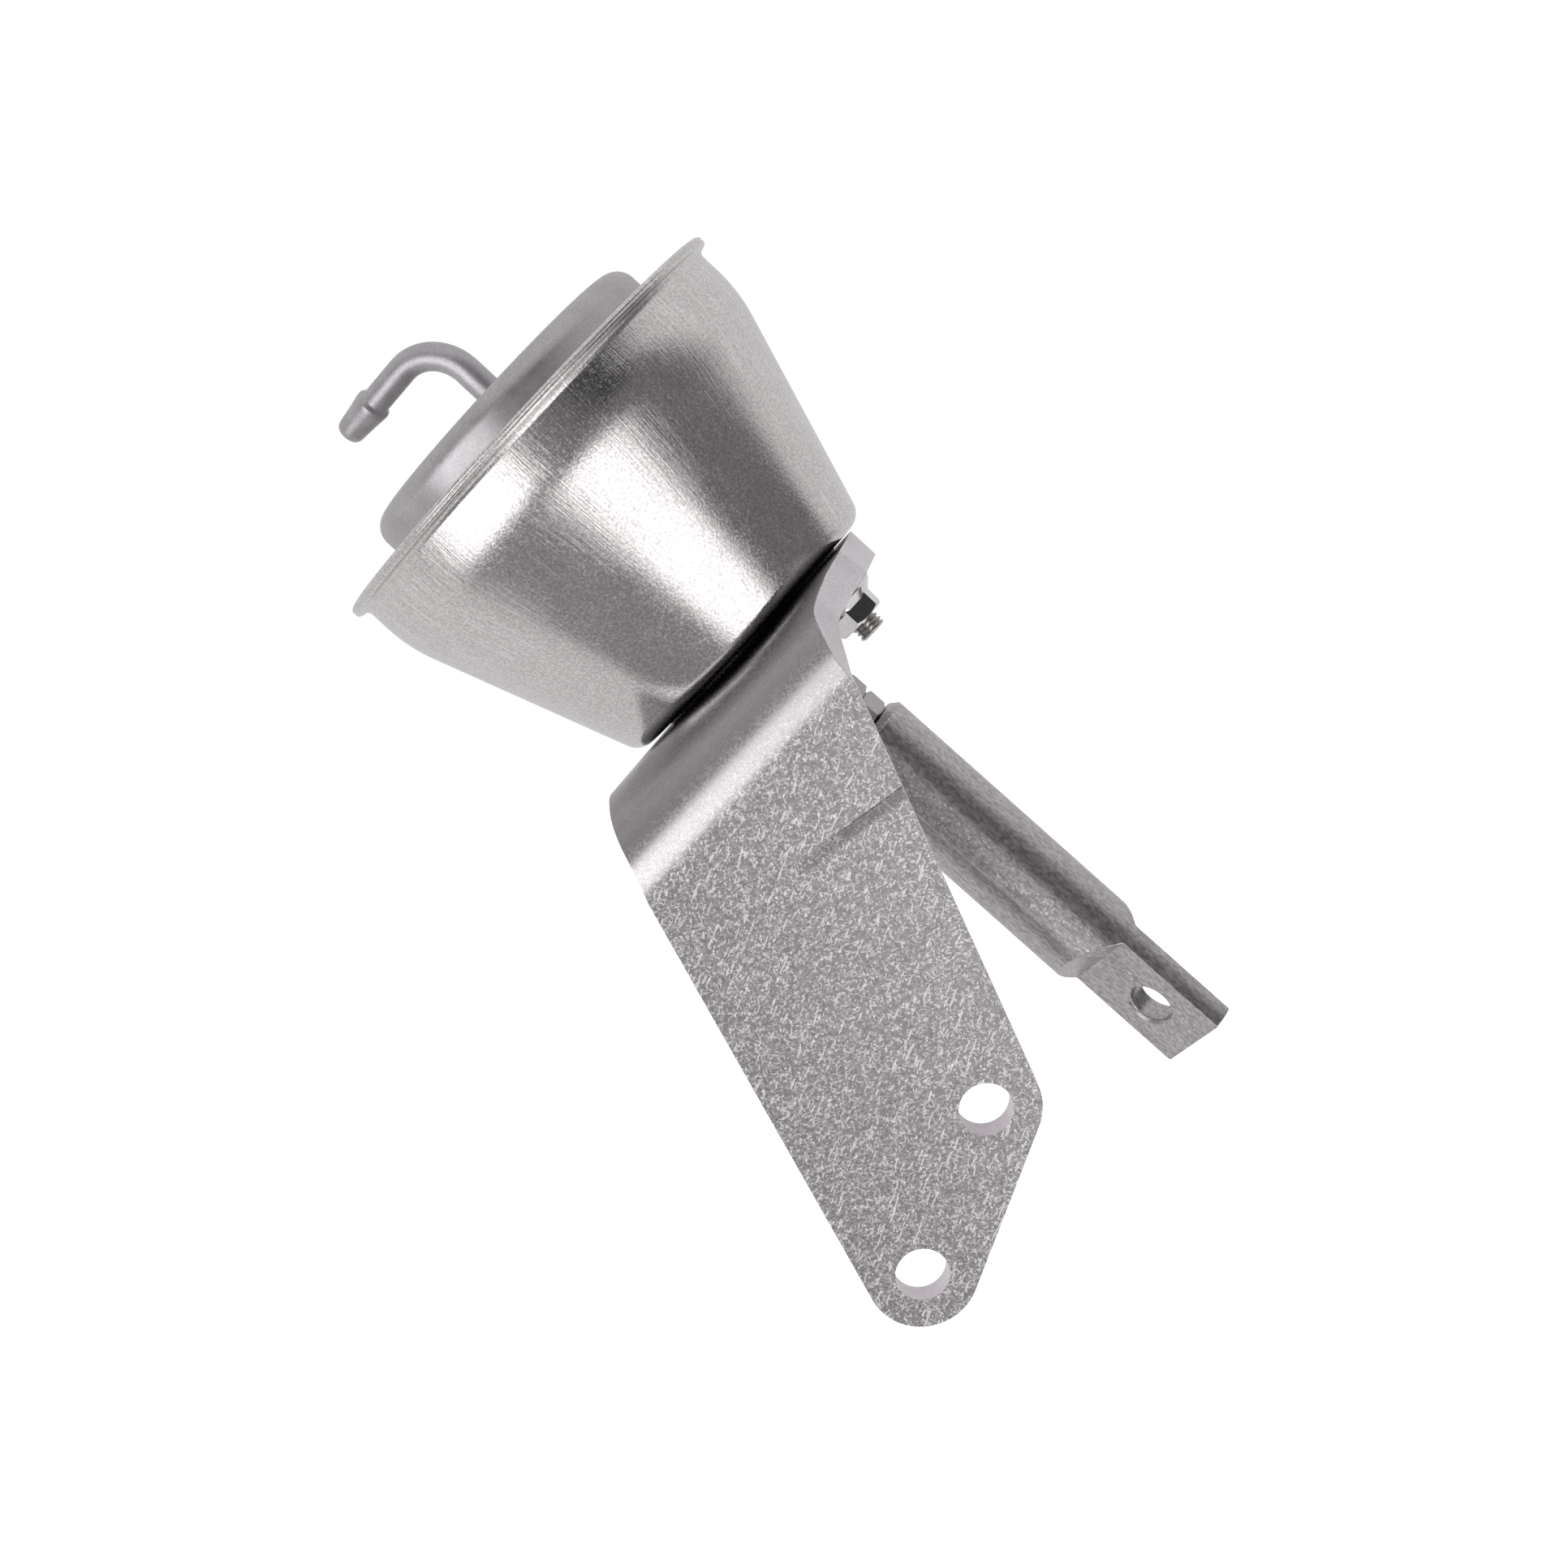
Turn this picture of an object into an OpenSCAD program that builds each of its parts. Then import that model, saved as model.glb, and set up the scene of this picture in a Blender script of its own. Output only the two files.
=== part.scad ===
// Pneumatic wastegate actuator: a pressed canister with a rolling diaphragm, a return spring
// and a rod, bolted to an L-shaped bracket, with a drilled rod end. All sizes in millimetres.
// The working frame has its origin on the canister's axis in the plane of the can's bottom,
// +Z towards the cap and -Y towards the bracket's leg. The finished part is then shifted so
// that its origin lies midway between the leg's two bolt holes, on the leg's outer face.

/* [Canister] */
// Outer radius of the rolled rim
rim_r = 41.05; // [39:0.05:50]
// Height of the rim's middle above the can's bottom
rim_z = 48.85; // [42:0.05:60]
// How far the rim stands out from the can's neck
rim_overhang = 1.9; // [1.6:0.05:3]
// Thickness of the can's and the cap's sheet
sheet_t = 0.45; // [0.4:0.05:0.55]
// Outer radius of the rim's two rolled corners
hem_r = 0.62; // [0.57:0.01:0.7]
// How far the rolled hem reaches inwards over the cap's flange
hem_reach = 2.7; // [2:0.1:4]
// Half angle of the can's cone
cone_angle = 18.65; // [12:0.05:20]
// Radius of the long shoulder between the cone and the neck
shoulder_r = 28; // [15:0.5:30]
// Height of the straight neck between the shoulder and the rim
neck_h = 5.15; // [4:0.05:9]
// Radius of the corner between the cone and the bottom
can_corner_r = 3.5; // [2:0.1:5]
// How far the bottom's flat pad stands down from the can
pad_h = 0.6; // [0.2:0.05:0.8]
// Outer radius of the cap's wall
cap_r = 29.05; // [27:0.05:33]
// Height of the cap's top above the rim's middle
cap_rise = 7.55; // [6:0.05:12]
// Radius of the corner between the cap's wall and its top
cap_corner_r = 3.5; // [1.5:0.1:4.5]
// Radius of the fillet between the cap's wall and its flange
cap_fillet_r = 1.2; // [0.6:0.1:2]

/* [Hose nipple] */
// Outer radius of the tube
tube_r = 2.38; // [2:0.01:3]
// Wall of the tube
tube_wall = 0.7; // [0.5:0.05:1]
// Height of the horizontal run above the cap's top
nipple_rise = 13.9; // [11:0.1:25]
// Radius of the elbow's centre line
elbow_r = 8.1; // [5:0.1:9]
// Compass angle of the horizontal run, counted from +X towards +Y
nipple_angle = 158; // [0:1:359]
// Largest radius of the bead that holds the hose
bead_r = 2.975; // [2.8:0.005:4]
// Distance from the canister's axis to the bead's widest land
bead_at = 16.5; // [12:0.1:20]
// Length of the bead's widest land
bead_land = 0.6; // [0.4:0.1:2]
// Distance from the canister's axis to the tip
nipple_reach = 23.7; // [22:0.1:35]
// Height of the filler metal round the nipple's foot
braze_h = 1.3; // [0.8:0.1:2]
// Width of the filler metal round the nipple's foot
braze_w = 0.85; // [0.5:0.05:1.5]

/* [Diaphragm and piston] */
// Thickness of the diaphragm
diaphragm_t = 0.25; // [0.2:0.05:0.4]
// Gap between the piston and the can's neck, which the diaphragm rolls in
roll_gap = 9.75; // [8.5:0.05:11.5]
// Depth of the piston's top below the rim's middle, at rest
piston_drop = 4.7; // [4.4:0.1:8]
// Height of the piston's skirt
piston_h = 12; // [8:0.5:14]
// Thickness of the piston's and the stop cup's sheet
press_t = 0.9; // [0.6:0.05:1.2]
// Outer radius of the stop cup
stop_r = 24; // [18:0.5:25]

/* [Spring] */
// Diameter of the spring's wire
wire_d = 2.9; // [2:0.1:3.4]
// Number of working coils
spring_turns = 4.5; // [3:0.5:6]

/* [Guide and studs] */
// Radius of the rod
rod_r = 3.175; // [2.5:0.005:4]
// Radial running clearance between the rod and whatever turns or slides on it
running = 0.03; // [0.01:0.01:0.08]
// Outer radius of the guide bush
bush_r = 5; // [4.4:0.1:6]
// How far the bush stands out below the bracket
bush_below = 1.5; // [0.5:0.1:3]
// Distance of each stud from the canister's axis
stud_x = 14; // [12.5:0.1:14.3]
// Radius of the studs
stud_r = 2.5; // [2:0.05:3]
// Pitch of the studs' thread
stud_pitch = 0.8; // [0.5:0.05:1]
// Depth of the studs' ends below the can's bottom
stud_end = 14.2; // [13:0.1:20]
// Width across the flats of the collar nuts
nut_af = 8; // [7:0.1:10]
// Radius of the nuts' collars
collar_r = 5.9; // [5.2:0.1:7]
// Height of the collar nuts
nut_h = 4.9; // [4.5:0.1:6]
// Thickness of the washers
washer_t = 0.7; // [0.6:0.1:1.6]

/* [Bracket] */
// Thickness of the bracket's plate
plate_t = 5.5; // [4:0.1:6]
// Outer radius of the bend
bend_r = 13; // [10:0.1:15]
// Distance of the bend's centre line in front of the canister's axis
bend_y = 21.15; // [20:0.01:32]
// Angle by which the leg leans in under the canister
lean = 11.72; // [0:0.01:20]
// Sideways place of the upper bolt hole
bolt_x = -27.26; // [-35:0.01:-15]
// Distance of the upper bolt hole down the leg from the bend
bolt_drop = 63.3; // [50:0.01:90]
// Distance between the two bolt holes
bolt_pitch = 29.6; // [22:0.1:40]
// Slope of the line through the bolt holes, below the sideways direction
bolt_slope = 23.35; // [0:0.05:40]
// Radius of the bolt holes
bolt_hole_r = 4.4; // [3.3:0.1:5.5]
// Radius of the leg's rounded end round each hole
lobe_r = 9.1; // [7.5:0.1:12]
// Sideways place of the flange's straight right edge
flange_right = 22.4; // [21:0.1:26]
// Sideways place of the flange's left back corner
flange_left = -19.1; // [-26:0.1:-19]
// Distance of the flange's back edge behind the canister's axis
flange_back = 12.5; // [8:0.1:18]
// Sideways place of the waist in the right edge, on the bend
waist_x = 13.95; // [10:0.05:16]
// Sideways place of the leg's right edge just below the bend
hip_x = 9.25; // [6:0.05:12]
// How far the bend draws the edges of its outer face in
draw_in = 0.75; // [0:0.05:1]
// How far the bend swells the edges of its inner face out
swell = 0.3; // [0:0.05:0.8]

/* [Rod end] */
// Angle of the rod's slight sideways set below the guide
rod_set = 1.82; // [0.2:0.01:4]
// Compass angle that the set leans towards
rod_set_angle = 53.3; // [-180:0.1:180]
// Distance of the rod's set below the can's bottom
set_depth = 8; // [7.6:0.1:12]
// Distance from the set to the centre of the eye
eye_at = 80.6; // [70:0.1:110]
// Radius of the rod end's round body
end_r = 8; // [7:0.1:10]
// Length of the rod end
end_len = 74.05; // [60:0.05:95]
// Distance from the eye to the rod end's lower face
eye_to_tip = 9.6; // [8:0.1:14]
// Thickness of the flat tongue
tongue_t = 4.45; // [3:0.05:8]
// Length of the tongue
tongue_len = 20.6; // [16:0.1:28]
// Slope of the milled run-outs above the tongue
runout_angle = 52; // [35:0.5:65]
// Compass angle that the tongue's flat faces
tongue_angle = -135.5; // [-180:0.5:180]
// Radius of the eye
eye_r = 3.65; // [3:0.01:5]
// Chamfer at the eye's two mouths
eye_chamfer = 0.45; // [0.2:0.05:1]
// Width across the flats of the nuts on the rod
rod_nut_af = 11.11; // [10:0.01:14]
// Height of the jam nuts
jam_nut_h = 3.97; // [3:0.01:6]
// Turn of the lower jam nut about the rod
jam_nut_turn = 16; // [0:1:59]
// Pitch of the rod's two threads
rod_pitch = 0.907; // [0.7:0.001:1.27]

/* [Hidden] */
$fn = 96;

// Canister, worked out from the rim
clamp_gap = 0.03;
rim_h = 3 * sheet_t + diaphragm_t + 2 * clamp_gap;
rim_low = rim_z - rim_h / 2;
rim_top = rim_z + rim_h / 2;
neck_r = rim_r - rim_overhang;
flare_r = rim_overhang - hem_r;
shoulder_z = rim_z - neck_h;
shoulder_start = [neck_r - shoulder_r * (1 - cos(cone_angle)),
    shoulder_z - shoulder_r * sin(cone_angle)];
cone_foot_r = shoulder_start.x - shoulder_start.y * tan(cone_angle);
floor_r = cone_foot_r - can_corner_r * (1 - sin(cone_angle)) / cos(cone_angle);
cap_top = rim_z + cap_rise;
cap_flange_z = rim_top - sheet_t;
cap_flange_r = rim_r - sheet_t - 0.2;
ceiling_z = cap_top - sheet_t;

// Inside of the canister
seat_gap = 0.1;
piston_r = neck_r - roll_gap;
piston_top = rim_z - piston_drop;
piston_under = piston_top - press_t;
diaphragm_top = piston_top + seat_gap + diaphragm_t;
stop_floor = diaphragm_top + seat_gap;
stop_top = ceiling_z - 0.3;
pad_r = floor_r - 4.4;
pad_slope = 0.6;
plate_r = pad_r - 0.4;
stud_plate_t = 1.5;
stud_plate_z = sheet_t - pad_h;
stud_plate_top = stud_plate_z + stud_plate_t;
spring_seat_t = 0.8;
coil_r = min(floor_r - 1.15, piston_r - press_t - wire_d / 2 - 0.6);
spring_low = sheet_t + spring_seat_t + wire_d / 2 + seat_gap / 2;
spring_high = piston_under - wire_d / 2 - seat_gap;
nipple_foot_t = 0.8;

// Fasteners
clear = 0.15;
lock_washer_t = 1.6;
lock_washer_z = stop_floor + press_t;
top_nut_z = lock_washer_z + lock_washer_t;
top_nut_h = 5.56;
rod_top = top_nut_z + top_nut_h + 1.2;
rod_thread_depth = 0.6 * rod_pitch;
nut_angles = [20, 25];
upper_nut_angle = -12;

// Bracket, laid out on the flat blank: x across and t along the sheet's neutral line, with
// t = 0 where the leg meets the bend and t = bend_len where the bend meets the flange
flange_top = -pad_h;
flange_under = flange_top - plate_t;
bend_inner_r = bend_r - plate_t;
bend_angle = 90 + lean;
neutral_r = bend_r - plate_t / 2;
bend_len = neutral_r * bend_angle * PI / 180;
bend_centre = [0, -bend_y, flange_top - bend_r];
bolt_1 = [bolt_x, -bolt_drop];
bolt_2 = bolt_1 - bolt_pitch * [cos(bolt_slope), sin(bolt_slope)];
blank_back = bend_len + bend_y + flange_back;
back_left = [flange_left, blank_back];
back_right = [flange_right, blank_back];
shoulder_pt = [flange_right, bend_len - 1.8];
waist_pt = [waist_x, bend_len - 7.3];
hip_pt = [hip_x, -1.4];

// Rod end, measured down the rod from its set
end_top = eye_at + eye_to_tip - end_len;
end_tip = eye_at + eye_to_tip;
rod_in_end = 24;
tapped_depth = rod_in_end + 4;
rod_tip = end_top + rod_in_end;
relief_r = rod_r - 0.55;
relief_len = 1.6;

// Points of an arc about c from angle a0 to angle a1
function arc(c, r, a0, a1, steps) =
    [for (i = [0:steps]) let (a = a0 + (a1 - a0) * i / steps) c + r * [cos(a), sin(a)]];

// A list without its first item
function tail(list) = [for (i = [1:len(list) - 1]) list[i]];

// A list of points from its last to its first
function reversed(list) = [for (i = [len(list) - 1:-1:0]) list[i]];

// Compass angle of the direction from a to b
function heading(a, b) = atan2(b.y - a.y, b.x - a.x);

// Arc of radius r in the corner b between the points a and c
function fillet(a, b, c, r, steps) =
    let (u = (a - b) / norm(a - b),
        v = (c - b) / norm(c - b),
        half = acos(u * v) / 2,
        m = b + (u + v) / norm(u + v) * r / sin(half),
        from = b + u * r / tan(half) - m,
        to = b + v * r / tan(half) - m,
        turn = atan2(from.x * to.y - from.y * to.x, from * to),
        start = atan2(from.y, from.x))
    arc(m, r, start, start + turn, steps);

// Point where a line from p touches the circle of radius r about c; side is 1 or -1
function touch(p, c, r, side) =
    let (d = p - c, a = side * acos(r / norm(d)))
    c + r / norm(d) * [d.x * cos(a) - d.y * sin(a), d.x * sin(a) + d.y * cos(a)];

// Unit normal on the left of the step from a to b
function step_normal(a, b) = [a.y - b.y, b.x - a.x] / norm(b - a);

// Corner i of the line that runs beside the path at the distance t on its left
function beside(path, i, t) =
    let (last = len(path) - 1,
        n1 = step_normal(path[max(i - 1, 0)], path[max(i, 1)]),
        n2 = step_normal(path[min(i, last - 1)], path[min(i + 1, last)]),
        n = n1 + n2)
    path[i] + n * 2 * t / (n * n);

// Closed section of a sheet of thickness t that lies on the left of the path
function sheet_section(path, t) =
    concat(path, [for (i = [len(path) - 1:-1:0]) beside(path, i, t)]);

// Point of the bent bracket: x across, t along the blank and r from the bend's centre line
function on_bracket(x, t, r) =
    let (held = min(max(t, 0), bend_len),
        a = bend_angle - held / neutral_r * 180 / PI)
    bend_centre + [x, (t - held) * cos(a) - r * sin(a), (t - held) * sin(a) + r * cos(a)];

bolt_centre = on_bracket((bolt_1.x + bolt_2.x) / 2, (bolt_1.y + bolt_2.y) / 2, bend_r);

// Moves the working frame's origin to the middle of the bolt holes
module placed() translate(-bolt_centre) children();

// Pressed sheet of revolution
module pressed(path, t) rotate_extrude() polygon(sheet_section(path, t));

// Both stud positions
module at_studs() for (i = [0, 1]) translate([(2 * i - 1) * stud_x, 0, 0]) children();

// Frame on the rod's axis at a distance below its set, with -Z down the rod
module down_rod(distance)
    translate([0, 0, -set_depth]) rotate([0, 0, rod_set_angle]) rotate([0, -rod_set, 0])
        translate([0, 0, -distance]) rotate([0, 0, -rod_set_angle]) children();

// Closed skin over a row of rings that have the same number of points
module skin(rings) {
    k = len(rings[0]);
    n = len(rings);
    sides = [for (i = [0:n - 2], j = [0:k - 1])
        let (a = i * k + j, b = i * k + (j + 1) % k)
        each [[a, b, b + k], [a, b + k, a + k]]];
    ends = [[for (j = [k - 1:-1:0]) j], [for (j = [0:k - 1]) (n - 1) * k + j]];
    polyhedron([for (ring = rings) each ring], concat(sides, ends));
}

// Bar with a row of thread grooves along its length, standing on the XY plane
module thread(r, pitch, depth, length) {
    turns = floor(length / pitch);
    rotate_extrude() polygon(concat([[0, 0]],
        [for (i = [0:turns - 1]) each [
            [r - depth, i * pitch],
            [r, (i + 0.42) * pitch],
            [r, (i + 0.58) * pitch]]],
        [[r - depth, turns * pitch], [0, turns * pitch]]));
}

// Hexagonal nut with both ends chamfered, standing on the XY plane
module hex_nut(af, h, bore_r) {
    corner_r = af / 2 / cos(30);
    fall = (corner_r - af / 2) * tan(30);
    face_r = af / 2 - 0.1;
    difference() {
        intersection() {
            cylinder(r = corner_r, h = h, $fn = 6);
            rotate_extrude() polygon([[0, 0], [face_r, 0],
                [corner_r + 0.1, fall + 0.12], [corner_r + 0.1, h - fall - 0.12],
                [face_r, h], [0, h]]);
        }
        translate([0, 0, -1]) cylinder(r = bore_r, h = h + 2);
        for (z = [0, h]) translate([0, 0, z]) mirror([0, 0, z == 0 ? 0 : 1])
            translate([0, 0, -0.01]) cylinder(r1 = bore_r + 0.4, r2 = bore_r, h = 0.41);
    }
}

// Lower housing: cone, neck and the rim that is rolled over the cap's flange
module can() color("#d6d5d2") placed() difference() {
    pressed(concat(
        [[bush_r + clear, -pad_h], [pad_r, -pad_h], [pad_r + pad_slope, 0]],
        arc([floor_r, can_corner_r], can_corner_r, -90, -cone_angle, 6),
        arc([neck_r - shoulder_r, shoulder_z], shoulder_r, -cone_angle, 0, 5),
        arc([neck_r + flare_r, rim_low - flare_r], flare_r, 180, 90, 6),
        tail(arc([rim_r - hem_r, rim_low + hem_r], hem_r, -90, 0, 5)),
        arc([rim_r - hem_r, rim_top - hem_r], hem_r, 0, 90, 5),
        [[rim_r - hem_reach, rim_top]]), sheet_t);
    at_studs() translate([0, 0, -5]) cylinder(r = stud_r + clear, h = 10);
}

// Upper housing, clamped in the rim by its flange
module cap() color("#8f8e8c") placed()
    pressed(concat(
        [[cap_flange_r, cap_flange_z]],
        arc([cap_r + cap_fillet_r, cap_flange_z + cap_fillet_r], cap_fillet_r, -90, -180, 5),
        arc([cap_r - cap_corner_r, cap_top - cap_corner_r], cap_corner_r, 0, 90, 7),
        [[tube_r + seat_gap, cap_top]]), sheet_t);

// Path of the nipple swept with a circle of radius r: up, round the elbow and out along +X
module nipple_run(r, low, out) {
    top = nipple_rise - elbow_r;
    translate([0, 0, cap_top - low]) cylinder(r = r, h = low + top);
    translate([elbow_r, 0, cap_top + top]) rotate([90, 0, 0])
        rotate_extrude(angle = 90, start = 90) translate([elbow_r, 0]) circle(r = r);
    translate([elbow_r, 0, cap_top + nipple_rise]) rotate([0, 90, 0])
        cylinder(r = r, h = out - elbow_r);
}

// Bent tube with a bead that holds the hose, open through to the inside of the cap
module hose_nipple() color("#8a8987") placed() rotate([0, 0, nipple_angle]) difference() {
    union() {
        nipple_run(tube_r, sheet_t + nipple_foot_t, nipple_reach - 1);
        translate([0, 0, ceiling_z - nipple_foot_t])
            cylinder(r = tube_r + 1.1, h = nipple_foot_t);
        translate([0, 0, cap_top + nipple_rise]) rotate([0, 90, 0]) rotate_extrude()
            polygon([[0, bead_at - 0.9], [tube_r, bead_at - 0.9],
                [bead_r - 0.1, bead_at - 0.12], [bead_r, bead_at],
                [bead_r, bead_at + bead_land], [tube_r, nipple_reach - 1],
                [tube_r - 0.12, nipple_reach - 0.4], [tube_r - 0.45, nipple_reach],
                [0, nipple_reach]]);
    }
    nipple_run(tube_r - tube_wall, sheet_t + 2, nipple_reach + 1);
}

// Fillet of filler metal round the foot of the nipple
module braze_ring() color("#9a9791") placed() translate([0, 0, cap_top])
    rotate_extrude() polygon(concat([[tube_r + 0.02, 0]],
        [for (i = [0:5]) [tube_r + braze_w * (1 - sin(15 * i)), braze_h * (1 - cos(15 * i))]],
        [[tube_r + 0.02, braze_h]]));

// Rubbered cloth: clamped in the rim, rolled down beside the can's wall and up the piston
module diaphragm() color("#2b2a28") placed() {
    wall_r = neck_r - 1.95;
    side_r = piston_r + seat_gap + diaphragm_t;
    roll_r = (wall_r - side_r) / 2;
    corner = diaphragm_t + seat_gap + 1.5;
    drape_r = flare_r + sheet_t + clamp_gap + diaphragm_t;
    pressed(concat(
        arc([neck_r + flare_r, rim_low - flare_r], drape_r, 95, 180, 7),
        [[wall_r, rim_low - 4.6]],
        arc([side_r + roll_r, rim_low - 8.1], roll_r, 0, -180, 14),
        arc([piston_r - 1.5, piston_top - 1.5], corner, 0, 90, 6),
        [[rod_r + 0.2, diaphragm_top]]), diaphragm_t);
}

// Cup on top of the diaphragm: holds it to the piston and stops against the cap's inside
module stop_cup() color("#b9b4a6") placed() difference() {
    pressed(concat([[rod_r + running, stop_floor]],
        arc([stop_r - 2, stop_floor + 2], 2, -90, 0, 6), [[stop_r, stop_top]]), press_t);
    for (a = [30, 150, 270]) rotate([0, 0, a])
        translate([stop_r - 4, -3, stop_top - 3]) cube([8, 6, 6]);
}

// Pressed piston with a skirt that guides the rolling diaphragm
module piston() color("#b9b4a6") placed()
    pressed(concat([[piston_r, piston_top - piston_h]],
        arc([piston_r - 1.5, piston_top - 1.5], 1.5, 0, 90, 6),
        [[rod_r + running, piston_top]]), press_t);

// Split spring washer under the top nut
module rod_lock_washer() color("#7b7a78") placed() translate([0, 0, lock_washer_z])
    difference() {
        cylinder(r = rod_nut_af / 2 - 0.2, h = lock_washer_t);
        translate([0, 0, -1]) cylinder(r = rod_r + clear, h = lock_washer_t + 2);
        rotate([25, 0, 0]) translate([0, -0.4, -4]) cube([10, 0.8, 12]);
    }

// Nut that clamps stop cup, diaphragm and piston
module rod_top_nut() color("#b5b3ad") placed() translate([0, 0, top_nut_z])
    hex_nut(rod_nut_af, top_nut_h, rod_r + running);

// Nut that carries the piston from below
module rod_lower_nut() color("#b5b3ad") placed() translate([0, 0, piston_under - jam_nut_h])
    hex_nut(rod_nut_af, jam_nut_h, rod_r + running);

// Return spring: closed end turns and a steady pitch between them
module spring() color("#6f7072") placed() {
    sides = 8;
    steps = 22;
    turns = spring_turns + 2;
    travel = spring_high - spring_low - 2 * wire_d;
    ring_count = turns * steps;
    skin([for (i = [0:ring_count])
        let (turn = i / steps,
            a = 360 * turn,
            climb = wire_d * (min(turn, 1) + max(turn - turns + 1, 0)),
            z = spring_low + climb + travel * min(max(turn - 1, 0), spring_turns) / spring_turns)
        [for (j = [0:sides - 1])
            let (b = 360 * j / sides, r = coil_r + wire_d / 2 * cos(b))
            [r * cos(a), r * sin(a), z + wire_d / 2 * sin(b)]]]);
}

// Ring with an upstand that centres the spring on the can's floor
module spring_seat() color("#8c8a84") placed() translate([0, 0, sheet_t]) {
    seat_in = pad_r + 0.7;
    pressed([[seat_in, 3.4], [seat_in, 0], [floor_r - 0.1, 0]], spring_seat_t);
}

// Stiffening plate inside the can, which the studs' heads bear on
module stud_plate() color("#a3a19b") placed() difference() {
    translate([0, 0, stud_plate_z]) cylinder(r = plate_r, h = stud_plate_t);
    translate([0, 0, -1]) cylinder(r = bush_r + running, h = 10);
    at_studs() translate([0, 0, -1]) cylinder(r = stud_r + running, h = 10);
}

// Two studs with flat heads inside the can
module studs() color("#a9a8a4") placed() at_studs() {
    thread_len = floor(9 / stud_pitch) * stud_pitch;
    translate([0, 0, stud_plate_top]) cylinder(r = 3.9, h = 1.8);
    translate([0, 0, -stud_end + thread_len])
        cylinder(r = stud_r, h = stud_end - thread_len + stud_plate_top);
    translate([0, 0, -stud_end]) thread(stud_r, stud_pitch, 0.6 * stud_pitch, thread_len + 0.01);
}

// Flanged bush that guides the rod through the can's bottom and the bracket
module guide_bush() color("#a58f5e") placed() {
    low = flange_under - bush_below;
    difference() {
        union() {
            translate([0, 0, stud_plate_top]) cylinder(r = bush_r + 2.6, h = 1.4);
            translate([0, 0, low + 0.5]) cylinder(r = bush_r, h = stud_plate_top - low);
            translate([0, 0, low]) cylinder(r1 = bush_r - 0.5, r2 = bush_r, h = 0.5);
        }
        translate([0, 0, low - 1]) cylinder(r = rod_r + running, h = 20 + bush_below + plate_t);
    }
}

// Rod: straight and threaded above, with a slight set below the guide and a second thread
module rod() color("#b8b7b3") placed() {
    top_turns = floor((rod_top - piston_under + jam_nut_h + 1.5) / rod_pitch);
    top_start = rod_top - 0.6 - top_turns * rod_pitch;
    translate([0, 0, -set_depth]) cylinder(r = rod_r, h = top_start + set_depth);
    translate([0, 0, top_start])
        thread(rod_r, rod_pitch, rod_thread_depth, top_turns * rod_pitch + 0.01);
    translate([0, 0, rod_top - 0.61]) cylinder(r1 = rod_r - 0.1, r2 = rod_r - 0.7, h = 0.61);
    low_turns = floor((rod_tip - relief_len) / rod_pitch);
    down_rod(relief_len + 0.5) cylinder(r = relief_r, h = relief_len + 1);
    down_rod(relief_len + low_turns * rod_pitch)
        thread(rod_r, rod_pitch, rod_thread_depth, low_turns * rod_pitch + 0.01);
}

// Edges of the bracket's blank as tables of t and x, from the lowest point of the lower lobe
// up to the back edge, with t rising
function edge_table(points) = [for (p = points) [p.y, p.x]];
right_touch = touch(hip_pt, bolt_1, lobe_r, -1);
left_touch = touch(back_left, bolt_2, lobe_r, 1);
right_edge = edge_table(concat(
    arc(bolt_2, lobe_r, -90, bolt_slope - 90, 4),
    arc(bolt_1, lobe_r, bolt_slope - 90, heading(bolt_1, right_touch), 10),
    [hip_pt],
    fillet(hip_pt, waist_pt, shoulder_pt, 4, 6),
    fillet(waist_pt, shoulder_pt, back_right, 1, 5),
    fillet(shoulder_pt, back_right, back_left, 3.5, 6)));
left_edge = edge_table(concat(
    arc(bolt_2, lobe_r, -90, heading(bolt_2, left_touch) - 360, 14),
    reversed(fillet(back_right, back_left, left_touch, 3.5, 6))));

// Places along the blank where its section changes: dense where an edge curves
blank_low = bolt_2.y - lobe_r;
bracket_stations = concat(
    [for (i = [0:30]) blank_low + 0.02 + (right_touch.y - blank_low) * (1 - cos(3 * i))],
    [for (i = [0:3]) right_touch.y + (hip_pt.y - right_touch.y) * (i + 1) / 4],
    [for (i = [0:32]) bend_len * i / 32],
    [for (i = [0:8]) blank_back - 3.5 * cos(90 * i / 8)]);

// Stamped and bent plate: flange under the canister, bend, and leg with the two bolt holes
module bracket() color("#9b9a97") placed() difference() {
    skin([for (t = bracket_stations)
        let (left = lookup(t, left_edge),
            right = lookup(t, right_edge),
            in_bend = sin(180 * min(max(t / bend_len, 0), 1)),
            bulge = min(1.6 * in_bend, 1))
        [on_bracket(left - swell * bulge, t, bend_inner_r),
            on_bracket(left + draw_in * bulge, t, bend_r),
            on_bracket(right - draw_in * bulge, t, bend_r),
            on_bracket(right + swell * bulge, t, bend_inner_r)]]);
    translate(bend_centre) rotate([bend_angle, 0, 0]) for (p = [bolt_1, bolt_2])
        translate([p.x, p.y, 0]) cylinder(r = bolt_hole_r, h = bend_r + 5);
    translate([0, 0, flange_under - 1]) cylinder(r = bush_r + clear, h = plate_t + 2);
    at_studs() translate([0, 0, flange_under - 1]) cylinder(r = stud_r + clear, h = plate_t + 2);
}

// Washers between the bracket and the collar nuts
module stud_washers() color("#c4c2bd") placed() at_studs()
    translate([0, 0, flange_under - washer_t]) difference() {
        cylinder(r = collar_r + 0.1, h = washer_t);
        translate([0, 0, -1]) cylinder(r = stud_r + clear, h = washer_t + 2);
    }

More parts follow.
